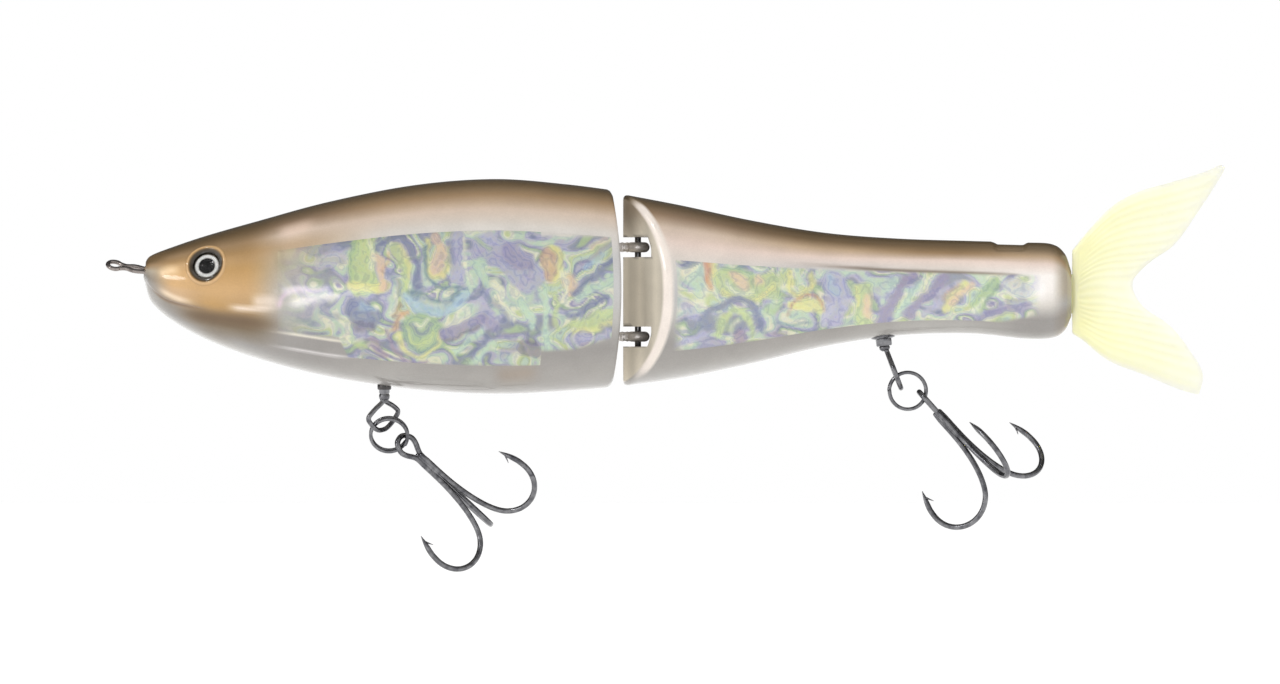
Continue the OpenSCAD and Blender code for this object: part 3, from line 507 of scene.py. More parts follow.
# ---------- materials ----------
class Nodes:
    """A node tree with short ways to add what the materials share. Lengths are in mm."""
    def __init__(self, tree):
        self.tree = tree
        tree.nodes.clear()

    def link(self, value, socket):
        """Sets a socket: a number or a colour directly, an output by a link."""
        if isinstance(value, bpy.types.NodeSocket):
            self.tree.links.new(value, socket)
        elif isinstance(value, tuple) and len(value) == 3:
            socket.default_value = value + (1,)
        else:
            socket.default_value = value

    def node(self, kind, **values):
        n = self.tree.nodes.new(kind)
        for key, value in values.items():
            if key in n.inputs:
                n.inputs[key].default_value = value
            else:
                setattr(n, key, value)
        return n

    def attribute(self, name, output="Fac"):
        return self.node("ShaderNodeAttribute", attribute_name=name).outputs[output]

    def coords(self, scale=1000.0):
        tc = self.node("ShaderNodeTexCoord")
        mp = self.node("ShaderNodeMapping", Scale=(scale,) * 3)
        self.link(tc.outputs["Object"], mp.inputs["Vector"])
        return mp.outputs["Vector"]

    def noise(self, vector, scale, detail=3, rough=0.5, distort=0.0):
        n = self.node("ShaderNodeTexNoise", Scale=scale, Detail=detail, Roughness=rough, Distortion=distort)
        self.link(vector, n.inputs["Vector"])
        return n.outputs["Fac"]

    def remap(self, value, lo, hi, a, b):
        n = self.node("ShaderNodeMapRange")
        for i, v in enumerate((value, lo, hi, a, b)):
            self.link(v, n.inputs[i])
        return n.outputs[0]

    def math(self, operation, *values):
        n = self.node("ShaderNodeMath", operation=operation)
        for i, v in enumerate(values):
            self.link(v, n.inputs[i])
        return n.outputs[0]

    def scaled(self, colour, factor):
        n = self.node("ShaderNodeVectorMath", operation="SCALE")
        self.link(colour, n.inputs[0])
        self.link(factor, n.inputs["Scale"])
        return n.outputs[0]

    def mix(self, factor, a, b, blend="MIX"):
        n = self.node("ShaderNodeMix", data_type="RGBA", blend_type=blend)
        for i, v in ((0, factor), (6, a), (7, b)):
            self.link(v, n.inputs[i])
        return n.outputs[2]

    def ramp(self, value, stops):
        n = self.node("ShaderNodeValToRGB")
        n.color_ramp.elements.remove(n.color_ramp.elements[1])
        for k, (pos, c) in enumerate(stops):
            e = n.color_ramp.elements[0] if k == 0 else n.color_ramp.elements.new(pos)
            e.position, e.color = pos, tuple(c) + (1,)
        self.link(value, n.inputs[0])
        return n.outputs[0]

    def bump(self, height, distance, strength):
        n = self.node("ShaderNodeBump", Strength=strength, Distance=distance)
        self.link(height, n.inputs["Height"])
        return n.outputs["Normal"]


def material(name, build, **sockets):
    """Material with one shader: plain numbers go to its sockets, build gives the linked ones."""
    m = bpy.data.materials.new(name)
    m.use_nodes = True
    s = Nodes(m.node_tree)
    out = s.node("ShaderNodeOutputMaterial")
    shader = s.node("ShaderNodeBsdfPrincipled")
    s.link(shader.outputs[0], out.inputs[0])
    for key, value in [*sockets.items(), *build(s).items()]:
        s.link(value, shader.inputs[key.replace("_", " ")])
    return m


def pearl(foil):
    """Pearl lacquer over the painted colours: mica flakes, soft clouding and a clear coat; on the bare shell
    also a painted glow, its strength from the 'flow' attribute.
    """
    def build(s):
        v = s.coords()
        mask = s.attribute("mask")
        flakes = s.node("ShaderNodeTexVoronoi", Scale=7.0)
        s.link(v, flakes.inputs["Vector"])
        sep = s.node("ShaderNodeSeparateColor")
        s.link(flakes.outputs["Color"], sep.inputs[0])
        gain = s.math("ADD", s.remap(s.noise(v, 0.22, 4), 0.3, 0.7, 0.95, 1.05),
                      s.remap(sep.outputs[0], 0.0, 1.0, -0.035, 0.035))
        colour = s.scaled(s.attribute("paint", "Color"), gain)
        if foil:
            tint = s.ramp(s.noise(v, 0.35, 5, 0.6, 1.6), [
                (0.0, (0.80, 0.86, 1.0)), (0.38, (0.88, 0.9, 1.0)), (0.47, (1.0, 1.0, 0.86)),
                (0.53, (0.92, 1.0, 0.9)), (0.6, (1.0, 0.9, 0.84)), (0.7, (0.92, 0.88, 1.0)),
                (1.0, (0.9, 1.0, 0.95))])
            phase = s.math("ADD", s.math("MULTIPLY", s.attribute("flow"), 5.0),
                           s.math("MULTIPLY", s.noise(v, 0.3, 3, 0.5, 1.2), 18.0))
            lines = s.ramp(s.remap(s.math("SINE", phase), -1, 1, 0, 1), [
                (0.0, (0.66, 0.69, 0.84)), (0.25, (0.86, 0.88, 0.98)), (0.55, (1.0, 1.0, 1.0)),
                (0.85, (1.0, 1.0, 0.94)), (1.0, (1.0, 0.97, 0.88))])
            for layer, amount in ((tint, 0.4), (lines, 0.6)):
                darker = s.mix(1.0, colour, layer, "MULTIPLY")
                colour = s.mix(s.math("MULTIPLY", mask, amount), colour, darker)
        links = {"Base Color": colour, "Emission Color": colour, "Metallic": s.remap(mask, 0, 1, 0.12, 0.3),
                 "Roughness": s.remap(s.noise(v, 1.1, 3), 0.3, 0.7, 0.3, 0.42),
                 "Coat Normal": s.bump(s.noise(v, 0.55, 2), 0.00004, 0.35)}
        # on the bare shell, 'flow' holds a painted glow: emission that lifts the shade in the gap at the rear
        # section's nose face
        if not foil:
            links["Emission Strength"] = s.attribute("flow")
        return links
    return build


def plated(colour, rough, dark):
    """Plated wire with fine drawing marks and darker patches."""
    def build(s):
        v = s.coords()
        patch = s.remap(s.noise(v, 0.9, 4), 0.35, 0.7, 0.0, 1.0)
        fine = s.noise(v, 6.0, 5, 0.65)
        return {"Base Color": s.mix(patch, colour, dark), "Normal": s.bump(fine, 0.00002, 0.4),
                "Roughness": s.remap(fine, 0.3, 0.7, rough * 0.75, rough * 1.4)}
    return build


def soft_plastic(s):
    v = s.coords()
    grain = s.noise(v, 1.5, 3)
    colour = s.scaled(s.attribute("paint", "Color"), s.remap(s.noise(v, 0.25, 3), 0.3, 0.7, 0.97, 1.03))
    # its own colour also feeds the fin's faint painted glow
    return {"Base Color": colour, "Emission Color": colour, "Normal": s.bump(grain, 0.00005, 0.3),
            "Roughness": s.remap(grain, 0.3, 0.7, 0.3, 0.45)}


def clear_plastic(s):
    n = s.noise(s.coords(), 0.4, 2)
    return {"Base Color": s.mix(n, (0.97, 0.98, 0.98), (1.0, 1.0, 1.0)),
            "Roughness": s.remap(n, 0.3, 0.7, 0.01, 0.03)}


def foil_print(s):
    """The iris: a metallic print whose bright ring glows by the piece's own mask, painted light that stands
    in for light reaching it through the dome.
    """
    n = s.noise(s.coords(), 4.0, 3)
    paint = s.attribute("paint", "Color")
    return {"Base Color": s.scaled(paint, s.remap(n, 0.3, 0.7, 0.9, 1.08)), "Emission Color": paint,
            "Emission Strength": s.attribute("mask"), "Roughness": s.remap(n, 0.3, 0.7, 0.2, 0.32)}


def studio_floor(s):
    return {"Base Color": s.mix(s.noise(s.coords(1.0), 6.0, 3), (0.94, 0.94, 0.935), (0.96, 0.96, 0.955))}


def metal(name, colour, rough, dark, metallic=1.0):
    return material(name, plated(colour, rough, dark), Metallic=metallic)


LACQUER = dict(Specular_IOR_Level=0.25, Coat_Weight=1.0, Coat_Roughness=0.07, Coat_IOR=1.48)
SHELL = material("shell_paint", pearl(False), **LACQUER)
FOIL = material("foil_paint", pearl(True), **LACQUER)
STEEL = metal("black_nickel", (0.24, 0.24, 0.25), 0.2, (0.09, 0.09, 0.1))
BRIGHT = metal("bright_wire", (0.92, 0.88, 0.86), 0.2, (0.74, 0.7, 0.68), 0.45)
TIE = metal("tie_wire", (0.36, 0.32, 0.3), 0.16, (0.16, 0.14, 0.13))
SLEEVE = metal("sleeve_metal", (0.09, 0.085, 0.085), 0.3, (0.05, 0.05, 0.05))
BRASS = metal("ballast_brass", (0.62, 0.48, 0.24), 0.35, (0.4, 0.3, 0.16))
# the fin's faint emission in its own colour is a painted glow that makes it look brighter
FIN = material("fin_soft", soft_plastic, Emission_Strength=0.05, Subsurface_Weight=0.6, IOR=1.38,
               Subsurface_Radius=[1.0, 0.95, 0.6], Subsurface_Scale=0.002, Transmission_Weight=0.35)
DOME = material("eye_clear", clear_plastic, Transmission_Weight=1.0, IOR=1.36)
IRIS = material("iris_print", foil_print, Specular_IOR_Level=0.05)
FLOOR = material("floor", studio_floor, Roughness=0.8, Specular_IOR_Level=0.1, Emission_Strength=0.12,
                 Emission_Color=(1, 1, 1))


# ---------- shells ----------
def arc_x(z):
    """The front section's rear edge, a shallow arc seen from the side."""
    r = (ARC_HALF ** 2 + ARC_DEPTH ** 2) / (2 * ARC_DEPTH)
    return FRONT_END - r + np.sqrt(r * r - (z + 0.11 * DEPTH) ** 2)


def recess_x(y):
    """The hollow in the front section's rear face."""
    return RECESS_X - np.sqrt(RECESS_R ** 2 - y * y)


def bevel_x(y):
    """The rear section's rounded nose face."""
    return FACE_X + BEVEL_DEPTH * (np.abs(y) / BEVEL_HALF) ** 1.6


MOUTH = smooth_line([(5.3, -2.6), (6, -3.6)] + [(x, z + 0.1) for x, z in LIP[1:]])


def front_relief(p):
    """The upper lip stands a little proud of the lower jaw, and the cheek is faintly creased."""
    x, z = p[..., 0], p[..., 2]
    depth = np.interp(x, [q[0] for q in MOUTH], [q[1] for q in MOUTH]) - z
    below = smooth(-0.2, 0.23, depth) * (1 - smooth(0.33, 4.3, depth))
    out = -0.3 * below * smooth(4.8, 5.8, x) * (1 - smooth(13.5, 20.4, x))
    for pts in CHEEK_LINES:
        out = out + 0.07 * (1 - smooth(0, 0.53, polyline_distance(x, z, pts)[0]))
    return out


def rear_relief(p):
    """Shallow notch in the back near the tail."""
    x, z = p[..., 0], p[..., 2]
    return -0.45 * smooth(145.4, 146.2, x) * (1 - smooth(150.4, 151.4, x)) * smooth(2, 3, z)


def quad_bezier(a, c, b, steps):
    """Rings between a and b on a curve that bends toward c."""
    return [(1 - u) ** 2 * a + 2 * u * (1 - u) * c + u * u * b
            for u in [(i + 1) / (steps + 1) for i in range(steps)]]


def eye_frame(side):
    s = skin(FRONT, np.array(4.0), np.radians(62.0))
    return move(EYE_X, side * s[1], EYE_Z) @ turn("Z", side * EYE_YAW) @ turn("X", side * -EYE_TILT)


def cut_socket(ob, f):
    """Sinks the eye's round seat into the shell."""
    cutter = Mesh()
    lathe(cutter, [(0, -1.32), (3.1, -1.32), (3.1, 4.0), (0, 4.0)], f, 48)
    tool = bpy.data.objects.new("cutter", cutter.data("cutter"))
    scene.collection.objects.link(tool)
    mod = ob.modifiers.new("socket", "BOOLEAN")
    mod.operation, mod.solver, mod.object = "DIFFERENCE", "EXACT", tool
    bpy.context.view_layer.update()
    done = bpy.data.meshes.new_from_object(ob.evaluated_get(bpy.context.evaluated_depsgraph_get()))
    ob.modifiers.clear()
    # every vertex of the cut skin takes the paint of the nearest vertex it had before
    tree = kdtree.KDTree(len(ob.data.vertices))
    for v in ob.data.vertices:
        tree.insert(v.co, v.index)
    tree.balance()
    near = [tree.find(v.co)[1] for v in done.vertices]
    for key, field, size in (("paint", "color", 4), ("mask", "value", 1), ("flow", "value", 1)):
        values = np.zeros(len(ob.data.vertices) * size)
        ob.data.attributes[key].data.foreach_get(field, values)
        done.attributes[key].data.foreach_set(field, values.reshape(-1, size)[near].ravel())
    ob.data = done
    bpy.data.objects.remove(tool)


def skin_height(f, r, angle, side):
    """How far along the eye's axis the bare skin lies, at a place round the eye."""
    n = np.array(f)[:3, 2]
    base = place(f, np.stack([r * np.cos(angle), r * np.sin(angle), 0 * angle], -1))
    ts = np.linspace(1, 8, 400)
    rows = spline(FRONT, ts)
    xs = NOSE_X + rows[:, 0] * LENGTH

    def inside(h):
        q = base + h[:, None] * n
        top, low, half = (np.interp(q[:, 0], xs, rows[:, c]) * size
                          for c, size in ((1, DEPTH), (2, DEPTH), (3, HALF)))
        mid, tall = (top + low) / 2, (top - low) / 2
        e = 2 / POWER
        return (np.abs(q[:, 1]) / half) ** e + (np.abs(q[:, 2] - mid) / tall) ** e - 1
    return solve(inside, np.full(angle.shape, -4.0), np.full(angle.shape, 3.0))


def front_half(side, name):
    a = np.radians(np.r_[0, 1.4, np.linspace(4, 176, 80), 178.6, 180])
    seam = np.where((a < 1e-6) | (a > math.pi - 1e-6), -0.07, 0.0)
    lip = 0.45 + 0.9 * (1 - smooth(0.05, 0.6, np.sin(a)))
    te = solve(lambda t: skin(FRONT, t, a)[:, 0] - arc_x(skin(FRONT, t, a)[:, 2]) + lip,
               np.full(a.shape, 8.0), np.full(a.shape, 10.0))
    u = np.linspace(0, 1, 200)[:, None]
    t = te[None] * u
    p = skin(FRONT, t, a[None])
    p = skin(FRONT, t, a[None], front_relief(p) * smooth(0.1, 0.35, np.sin(a))[None] + seam[None])
    colour = shell_paint(FRONT, p, t)
    # nose cap
    cap = []
    for w in (0.0, 0.35, 0.68, 0.9):
        q = p[0].copy()
        q[:, 1] *= w
        q[:, 2] = q[:, 2].mean() + (q[:, 2] - q[:, 2].mean()) * (0.4 + 0.6 * w)
        q[:, 0] -= 0.3 * (1 - w * w)
        cap.append(q)
    # rounded edge and hollow rear face
    inner = skin(FRONT, te, a, -lip + seam)
    inner[:, 0] = np.minimum(arc_x(inner[:, 2]), recess_x(inner[:, 1]))
    corner = skin(FRONT, te, a, seam)
    corner[:, 0] = inner[:, 0]
    edge = quad_bezier(p[-1], corner, inner, 3)
    face = []
    for w in np.linspace(1, 0, 9):
        q = inner.copy()
        q[:, 1] *= w
        q[:, 0] = np.minimum(arc_x(q[:, 2]), recess_x(q[:, 1]))
        face.append(q)
    rings = np.array(cap + list(p) + edge + face)
    tail = colour[-1] * 0.97
    colours = np.array([colour[0]] * len(cap) + list(colour) + [tail] * len(edge)
                       + [tail * 0.3 + np.array([196, 190, 178]) * 0.7] * len(face))
    rings[..., 1] *= side
    m = Mesh()
    m.grid(rings, colours)
    ob = m.object(name, SHELL, "front_section", (name.replace("_body", ""),), "shell", 32, True)
    cut_socket(ob, eye_frame(side))


def face_paint(p):
    """The rear section's nose face: pearl greige with upright light and dark bands that are painted
    reflections of the rounded face, darker near the back.
    """
    x, z = p[..., 0], p[..., 2]
    c = np.zeros(p.shape) + np.array([214, 205, 188])
    # painted reflections: upright light and dark bands across the rounded face
    c = c * (0.94 + 0.06 * np.cos((x - 87) / 0.42))[..., None]
    dark = smooth(3.9, 9.8, z - (x - FACE_X) * 0.3)[..., None] * 0.75
    return c * (1 - dark) + np.array([120, 104, 86]) * dark


def rear_half(side, name):
    a = np.radians(np.r_[0, 1.4, np.linspace(4, 176, 80), 178.6, 180])
    lip = 0.85

    def start_of(angles, extra, out):
        def past_face(t):
            q = skin(REAR, t, angles, out)
            return q[:, 0] - bevel_x(q[:, 1]) - extra
        return solve(past_face, np.zeros(angles.shape), np.full(angles.shape, 2.0))

    # lines of the grid run exactly along the slots' edges
    rows = []
    for z in [middle + half for middle in SLOT_Z for half in (SLOT_HALF, -SLOT_HALF)]:
        one = solve(lambda b: z - skin(REAR, start_of(b, 0, -lip), b, -lip)[:, 2],
                    np.array([0.3]), np.array([2.9]))[0]
        k = int(np.argmin(np.abs(a - one)))
        a[k] = one
        rows.append(k)
    seam = np.where((a < 1e-6) | (a > math.pi - 1e-6), -0.07, 0.0)
    ts = start_of(a, lip, 0.0)
    u = np.linspace(0, 1, 150)[:, None]
    t = ts[None] + (9 - ts[None]) * u
    p = skin(REAR, t, a[None])
    p = skin(REAR, t, a[None], rear_relief(p) * smooth(0.0, 0.9, np.cos(a))[None] + seam[None])
    colour = shell_paint(REAR, p, t)
    ti = start_of(a, 0.0, -lip)
    inner = skin(REAR, ti, a, -lip + seam)
    inner[:, 0] = bevel_x(inner[:, 1])
    tc = start_of(a, 0.0, 0.0)
    corner = skin(REAR, tc, a, seam)
    edge = quad_bezier(inner, corner, p[0], 3)
    # the nose face, from the middle to the slots' ends and then on to the edge
    reach = SLOT_REACH * np.minimum(1, inner[:, 1] / 8.9)
    n_slot, n_edge = 7, 4
    face = []
    for j in range(n_slot + n_edge):
        q = inner.copy()
        w = np.minimum(j / n_slot, 1)
        v = max(0, j - n_slot) / n_edge
        q[:, 1] = reach * w + (inner[:, 1] - reach) * v
        q[:, 0] = bevel_x(q[:, 1])
        face.append(q)
    # end of the body with the fin's socket
    hole = np.stack([np.full(a.shape, p[-1][0, 0]), 1.2 * soft_power(np.sin(a), 0.3),
                     FIN_SLOT_Z + 3.4 * soft_power(np.cos(a), 0.3)], -1)
    deep = hole.copy()
    deep[:, 0] -= 7
    floor = []
    for w in (0.5, 0.0):
        q = deep.copy()
        q[:, 1] *= w
        floor.append(q)
    rings = np.array(face + [inner] + edge + list(p) + [hole, deep] + floor)
    n_face = len(face) + 1
    # painted highlight along the rounded lip round the face
    top_fade = smooth(0.12, 0.5, a)[:, None] * (1 - smooth(2.5, 2.9, a))[:, None]
    bright = np.array([234, 223, 213]) * top_fade + colour[0] * (1 - top_fade)
    near = (1 - smooth(0.0, 0.4, p[..., 0] - p[:1, :, 0]))[..., None] * top_fade[None]
    colour = colour * (1 - near) + bright[None] * near
    # the hole for the fin's root is painted darker inward, as shade in the hole
    colours = np.array([face_paint(q) for q in face + [inner]] + [bright] * len(edge) + list(colour)
                       + [colour[-1] * 0.8, colour[-1] * 0.4] + [colour[-1] * 0.4] * 2)
    # painted light: the nose face glows, brightest in the middle and low down, to lift the shade of the gap;
    # it stands in for light that the clear plastic carries in
    glow = np.zeros(rings.shape[:2])
    for j in range(n_face):
        y, z = np.abs(rings[j, :, 1]), rings[j, :, 2]
        glow[j] = 0.5 * (1 - smooth(1, 9.5, y)) * (1 - 0.6 * smooth(2, 9, z))
    rings[..., 1] *= side

    def in_slot(i, k):
        return i < n_slot and (rows[0] <= k < rows[1] or rows[2] <= k < rows[3])

    m = Mesh()
    m.grid(rings, colours, flow=glow, skip=in_slot)
    for lo, hi in ((rows[0], rows[1]), (rows[2], rows[3])):
        front = rings[:n_slot + 1, lo:hi + 1].copy()
        back = front.copy()
        back[..., 0] = PIN_X + SLOT_DEPTH
        back[n_slot, :, :] = front[n_slot, :, :]
        shade = np.full(back.shape, 150.0) * np.array([1, .96, .9])
        m.grid(back, shade)
        for k in (0, -1):
            m.grid(np.stack([front[:, k], back[:, k]], 0), np.stack([shade[:, k]] * 2, 0))
    return m.object(name, SHELL, "tail_section", (name.replace("_body", ""),), "shell", 32, True)


for side, word in ((-1, "left"), (1, "right")):
    front_half(side, f"front_shell_{word}_body")
    rear_half(side, f"rear_shell_{word}_body")


# ---------- foils ----------
def foil(side, name, table, strokes, t0, t1, angles, seed, level, nu, na):
    """Thin closed skin on one flank. It sinks just under the lacquer at its borders."""
    u = np.linspace(0, 1, nu)[:, None]
    k = np.linspace(0, 1, na)[None]
    t = t0(k) + (t1(k) - t0(k)) * u
    ends = angles(u)
    a = np.radians(ends[0] + (ends[1] - ends[0]) * k)
    p = skin(table, t, a)
    base = shell_paint(table, p, t)
    x, z = p[..., 0].copy(), p[..., 2].copy()
    length = (p[-1, na // 2, 0] - p[0, na // 2, 0])
    depth = np.abs(p[nu // 2, 0, 2] - p[nu // 2, -1, 2])
    edge = np.minimum(np.minimum(u * length, (1 - u) * length), np.minimum(k, 1 - k) * depth)
    out = -0.06 + 0.1 * smooth(0, 1.6, edge)
    relief = front_relief(p) if table is FRONT else 0.0
    p = skin(table, t, a, out + relief)
    under = skin(table, t, a, out + relief - 0.3)
    mask = foil_mask(table, x, z)
    colour, flow = foil_colour(base, x, z, strokes, seed, level)
    colour = base * (1 - mask[..., None]) + colour * mask[..., None]
    for q in (p, under):
        q[..., 1] *= side
    m = Mesh()
    m.grid(p, colour, mask, flow)
    m.grid(under, colour, mask, flow)
    for line in ((p[0], under[0]), (p[-1], under[-1]), (p[:, 0], under[:, 0]), (p[:, -1], under[:, -1])):
        m.grid(np.stack(line, 0))
    body = "front_section" if table is FRONT else "tail_section"
    return m.object(name, FOIL, body, (name.replace("_skin", ""),), "foil", 50, weld=0.0005)


def foil_mask(table, x, z):
    """Where the foil shows: upper and lower borders, and soft ends."""
    if table is FRONT:
        top = np.interp(x, [25.7, 39, 70.6, 70.8, 83.7], [4.2, 5.8, 6.2, 4.9, 4.9])
        low = np.interp(x, [25.7, 37.3, 39.3, 70.6, 70.8, 76.3, 83.7],
                        [-10.7, -12, -16.2, -16.7, -14.2, -13.9, -11.5])
        return smooth(25.4, 39.3, x) ** 0.8 * smooth(-0.3, 0.7, top - z) * smooth(-0.4, 0.5, z - low)
    top = np.interp(x, [92, 97, 110, 123.5, 152.5], [1.9, 1.7, -.3, -.9, -1.6])
    low = np.interp(x, [90.4, 97, 110, 123.5, 130, 146.7, 152.5], [-14.4, -14, -12, -10.7, -10, -9.4, -8.4])
    ends = smooth(92.2, 94.3, x) * (1 - smooth(150.7, 153.7, x))
    return ends * smooth(-0.2, 0.4, top - z) * smooth(-0.3, 0.5, z - low)


def front_limits(k):
    """Rows where the front foil ends, 0.5 mm before the rear edge."""
    a = np.radians(59 + 79 * k[0])
    te = solve(lambda t: skin(FRONT, t, a)[:, 0] - arc_x(skin(FRONT, t, a)[:, 2]) + 0.5,
               np.full(a.shape, 8.0), np.full(a.shape, 10.0))
    return te[None]


def rear_limits(k):
    """Rows where the rear foil begins, 0.8 mm behind the nose face."""
    a = np.radians(66 + 70 * k[0])

    def past_face(t):
        q = skin(REAR, t, a)
        return q[:, 0] - bevel_x(q[:, 1]) - 0.8
    return solve(past_face, np.zeros(a.shape), np.full(a.shape, 2.0))[None]


for side, word in ((-1, "left"), (1, "right")):
    foil(side, f"front_foil_{word}_skin", FRONT, FRONT_STROKES, lambda k: 5.25 + 0 * k,
         front_limits, lambda u: (59 + 0 * u, 138 + 0 * u), 3.0, 184, 250, 100)
    foil(side, f"rear_foil_{word}_skin", REAR, REAR_STROKES, rear_limits,
         lambda k: 7.25 + 0 * k, lambda u: (66 - 3 * u, 136 + 6 * u), 11.0, 193, 180, 56)


# ---------- eyes ----------
# the rim moulded round the eye: radius, height, share of its own height (the rest follows the skin), colour
RIM_DARK, SEAT, CREST = (48, 40, 28), (44, 36, 24), (184, 146, 94)
# down the socket's wall toward the dome the colours darken, and around radius 3.2 to 3.36 the rim carries a
# pale gold painted highlight
RIM = ((2.44, -1.28, 1, RIM_DARK), (2.44, -0.3, 1, RIM_DARK), (2.28, -0.22, 1, SEAT), (2.28, -0.14, 1, SEAT),
       (2.48, -0.06, .7, (50, 40, 26)), (2.66, 0, .4, (58, 46, 28)), (2.86, .1, .2, (92, 72, 42)),
       (3.04, .2, 0, (170, 134, 86)), (3.2, .24, 0, (206, 168, 120)), (3.36, .18, 0, (202, 162, 112)),
       (3.52, .04, 0, (188, 150, 98)), (3.66, -.12, 0, CREST), (3.74, -.6, 0, CREST),
       (2.44, -1.28, 1, RIM_DARK))
# the iris disc, dark surround, bright ring and pupil: radius, height, colour, glow
PUPIL, SURROUND = (4, 4, 5), (40, 35, 25)
IRIS_RINGS = (
    (0.0, .02, PUPIL, 0), (0.8, .03, PUPIL, 0), (1.1, .04, (5, 5, 6), 0), (1.24, .05, (8, 8, 9), 0),
    (1.3, 0, (200, 198, 194), .2), (1.5, -.02, (246, 244, 240), .25), (1.72, 0, (250, 248, 244), .25),
    (1.88, .03, (196, 190, 180), .12), (1.96, -.04, (50, 44, 32), 0), (2.1, -.05, SURROUND, 0),
    (2.44, -.02, (56, 48, 32), 0), (2.47, -.1, SURROUND, 0), (2.47, -.45, SURROUND, 0),
    (0.0, -.45, SURROUND, 0))
IRIS_Z, IRIS_PLEATS, DOME_RISE, DOME_SEAT = -0.8, 36, 0.8, -0.4


def ring_points(r, z, angles):
    return np.stack([r * np.cos(angles), r * np.sin(angles), z], -1)


def eye(side, word):
    f = eye_frame(side)
    rim, iris, dome = Mesh(), Mesh(), Mesh()
    angles = full_turn(80)
    rings, colours = [], []
    for r, h, own, colour in RIM:
        level = skin_height(f, r, angles, side)
        rings.append(ring_points(r, (level + h) * (1 - own) + own * np.minimum(h, level - 0.05), angles))
        colours.append(np.tile(np.array(colour, float), (80, 1)))
    rim.grid(place(f, np.array(rings)), np.array(colours), wrap=True)
    rim.object(f"eye_rim_{word}", SHELL, "front_section", (), "shell", 60)
    angles = full_turn(72)
    rings, colours, glow = [], [], []
    for r, h, colour, light in IRIS_RINGS:
        pleat = np.cos(angles * IRIS_PLEATS) * (1.25 < r < 1.9)
        rings.append(ring_points(r, h + IRIS_Z + 0.012 * pleat, angles))
        # the colour follows the pleats, 5 % lighter on their ridges and darker between them: painted shading
        colours.append(np.array(colour, float)[None] * (1 + 0.05 * pleat)[:, None])
        glow.append(np.full(72, light))
    iris.grid(place(f, np.array(rings)), np.array(colours), np.array(glow), wrap=True)
    iris.object(f"eye_iris_{word}_disc", IRIS, "front_section", (f"eye_iris_{word}",), "iris", 60)
    ball = (2.5 ** 2 + DOME_RISE ** 2) / (2 * DOME_RISE)
    profile = [(0.0, -0.74), (1.2, -0.74), (2.3, -0.74), (2.4, -0.66), (2.41, -0.42)]
    for i in range(1, 15):
        r = 2.4 * math.cos(math.pi / 2 * i / 14)
        profile.append((max(r, 0), DOME_SEAT + DOME_RISE - ball + math.sqrt(ball * ball - r * r)))
    lathe(dome, profile, f, 64)
    dome.object(f"eye_dome_{word}_lens", DOME, "front_section", (f"eye_dome_{word}",), "eye_dome", 50)


eye(-1, "left")
eye(1, "right")


# ---------- line tie ----------
def tie_half(side):
    return ([[-1.15 * math.cos(math.radians(i * 20)), side * 1.15 * math.sin(math.radians(i * 20)), 0]
             for i in range(1, 8)]
            + [[1.75, side * .4, 0], [2.4, side * .5, 0], [3.1, side * .72, 0], [3.9, side * .72, 0],
               [4.7, side * .56, 0], [5.5, side * .5, 0], [9, side * .5, 0], [13, side * .5, 0]])


tie = tie_half(-1)[::-1] + [[-1.15, 0, 0]] + tie_half(1)
path = np.array(smooth_line(tie, 5))
wire = Mesh()
tube(wire, place(turn("Y", 9.5) @ turn("X", 30), path), 0.37, 14)
wire.object("line_tie_wire", TIE, "front_section", ("line_tie",), "bright_wire", 60)

# ---------- hinge lugs and pin ----------
for z, word in zip(SLOT_Z, ("upper", "lower")):
    lug = Mesh()
    prof = [(0.58, 0.62), (0.58, -0.62), (0.72, -0.78), (1.0, -0.85)]
    for i in range(9):
        b = math.radians(-90 + 180 * i / 8)
        prof.append((1.1 + 0.85 * math.cos(b), 0.85 * math.sin(b)))
    prof += [(1.0, 0.85), (0.72, 0.78), (0.58, 0.62)]
    lathe(lug, prof, move(PIN_X, 0, z), 48)
    x0, x1 = FRONT_END - 6.5, PIN_X - 1.3
    shank = np.array([[x, 0, z] for x in np.linspace(x0, x1, 60)])
    # a fine rolled thread shows on the shank
    tube(lug, shank, 0.78 + 0.05 * np.cos(np.linspace(0, 60, 60)), 20)
    lug.object(f"hinge_lug_{word}_eye", BRIGHT, "front_section", (f"hinge_lug_{word}",), "bright_wire", 50)

pin = Mesh()
lathe(pin, [(0, -17), (0.36, -17), (0.52, -16.8), (0.52, -8), (0.52, 0), (0.52, 8.8), (0.36, 9), (0, 9)],
      move(PIN_X, 0, 0), 32)
pin.object("hinge_pin_rod", STEEL, "tail_section", ("hinge_pin",), "dark_steel", 40)


# ---------- hangers ----------
def loop_frame(top, pitch, lean, yaw):
    """Frame of a hanger's wire loop, which leans away from its sleeve."""
    return move(*top) @ turn("Y", -lean) @ turn("X", pitch) @ turn("Z", yaw)


def sleeve_frame(x, z, lean):
    return move(x, 0, z) @ turn("Y", -lean)


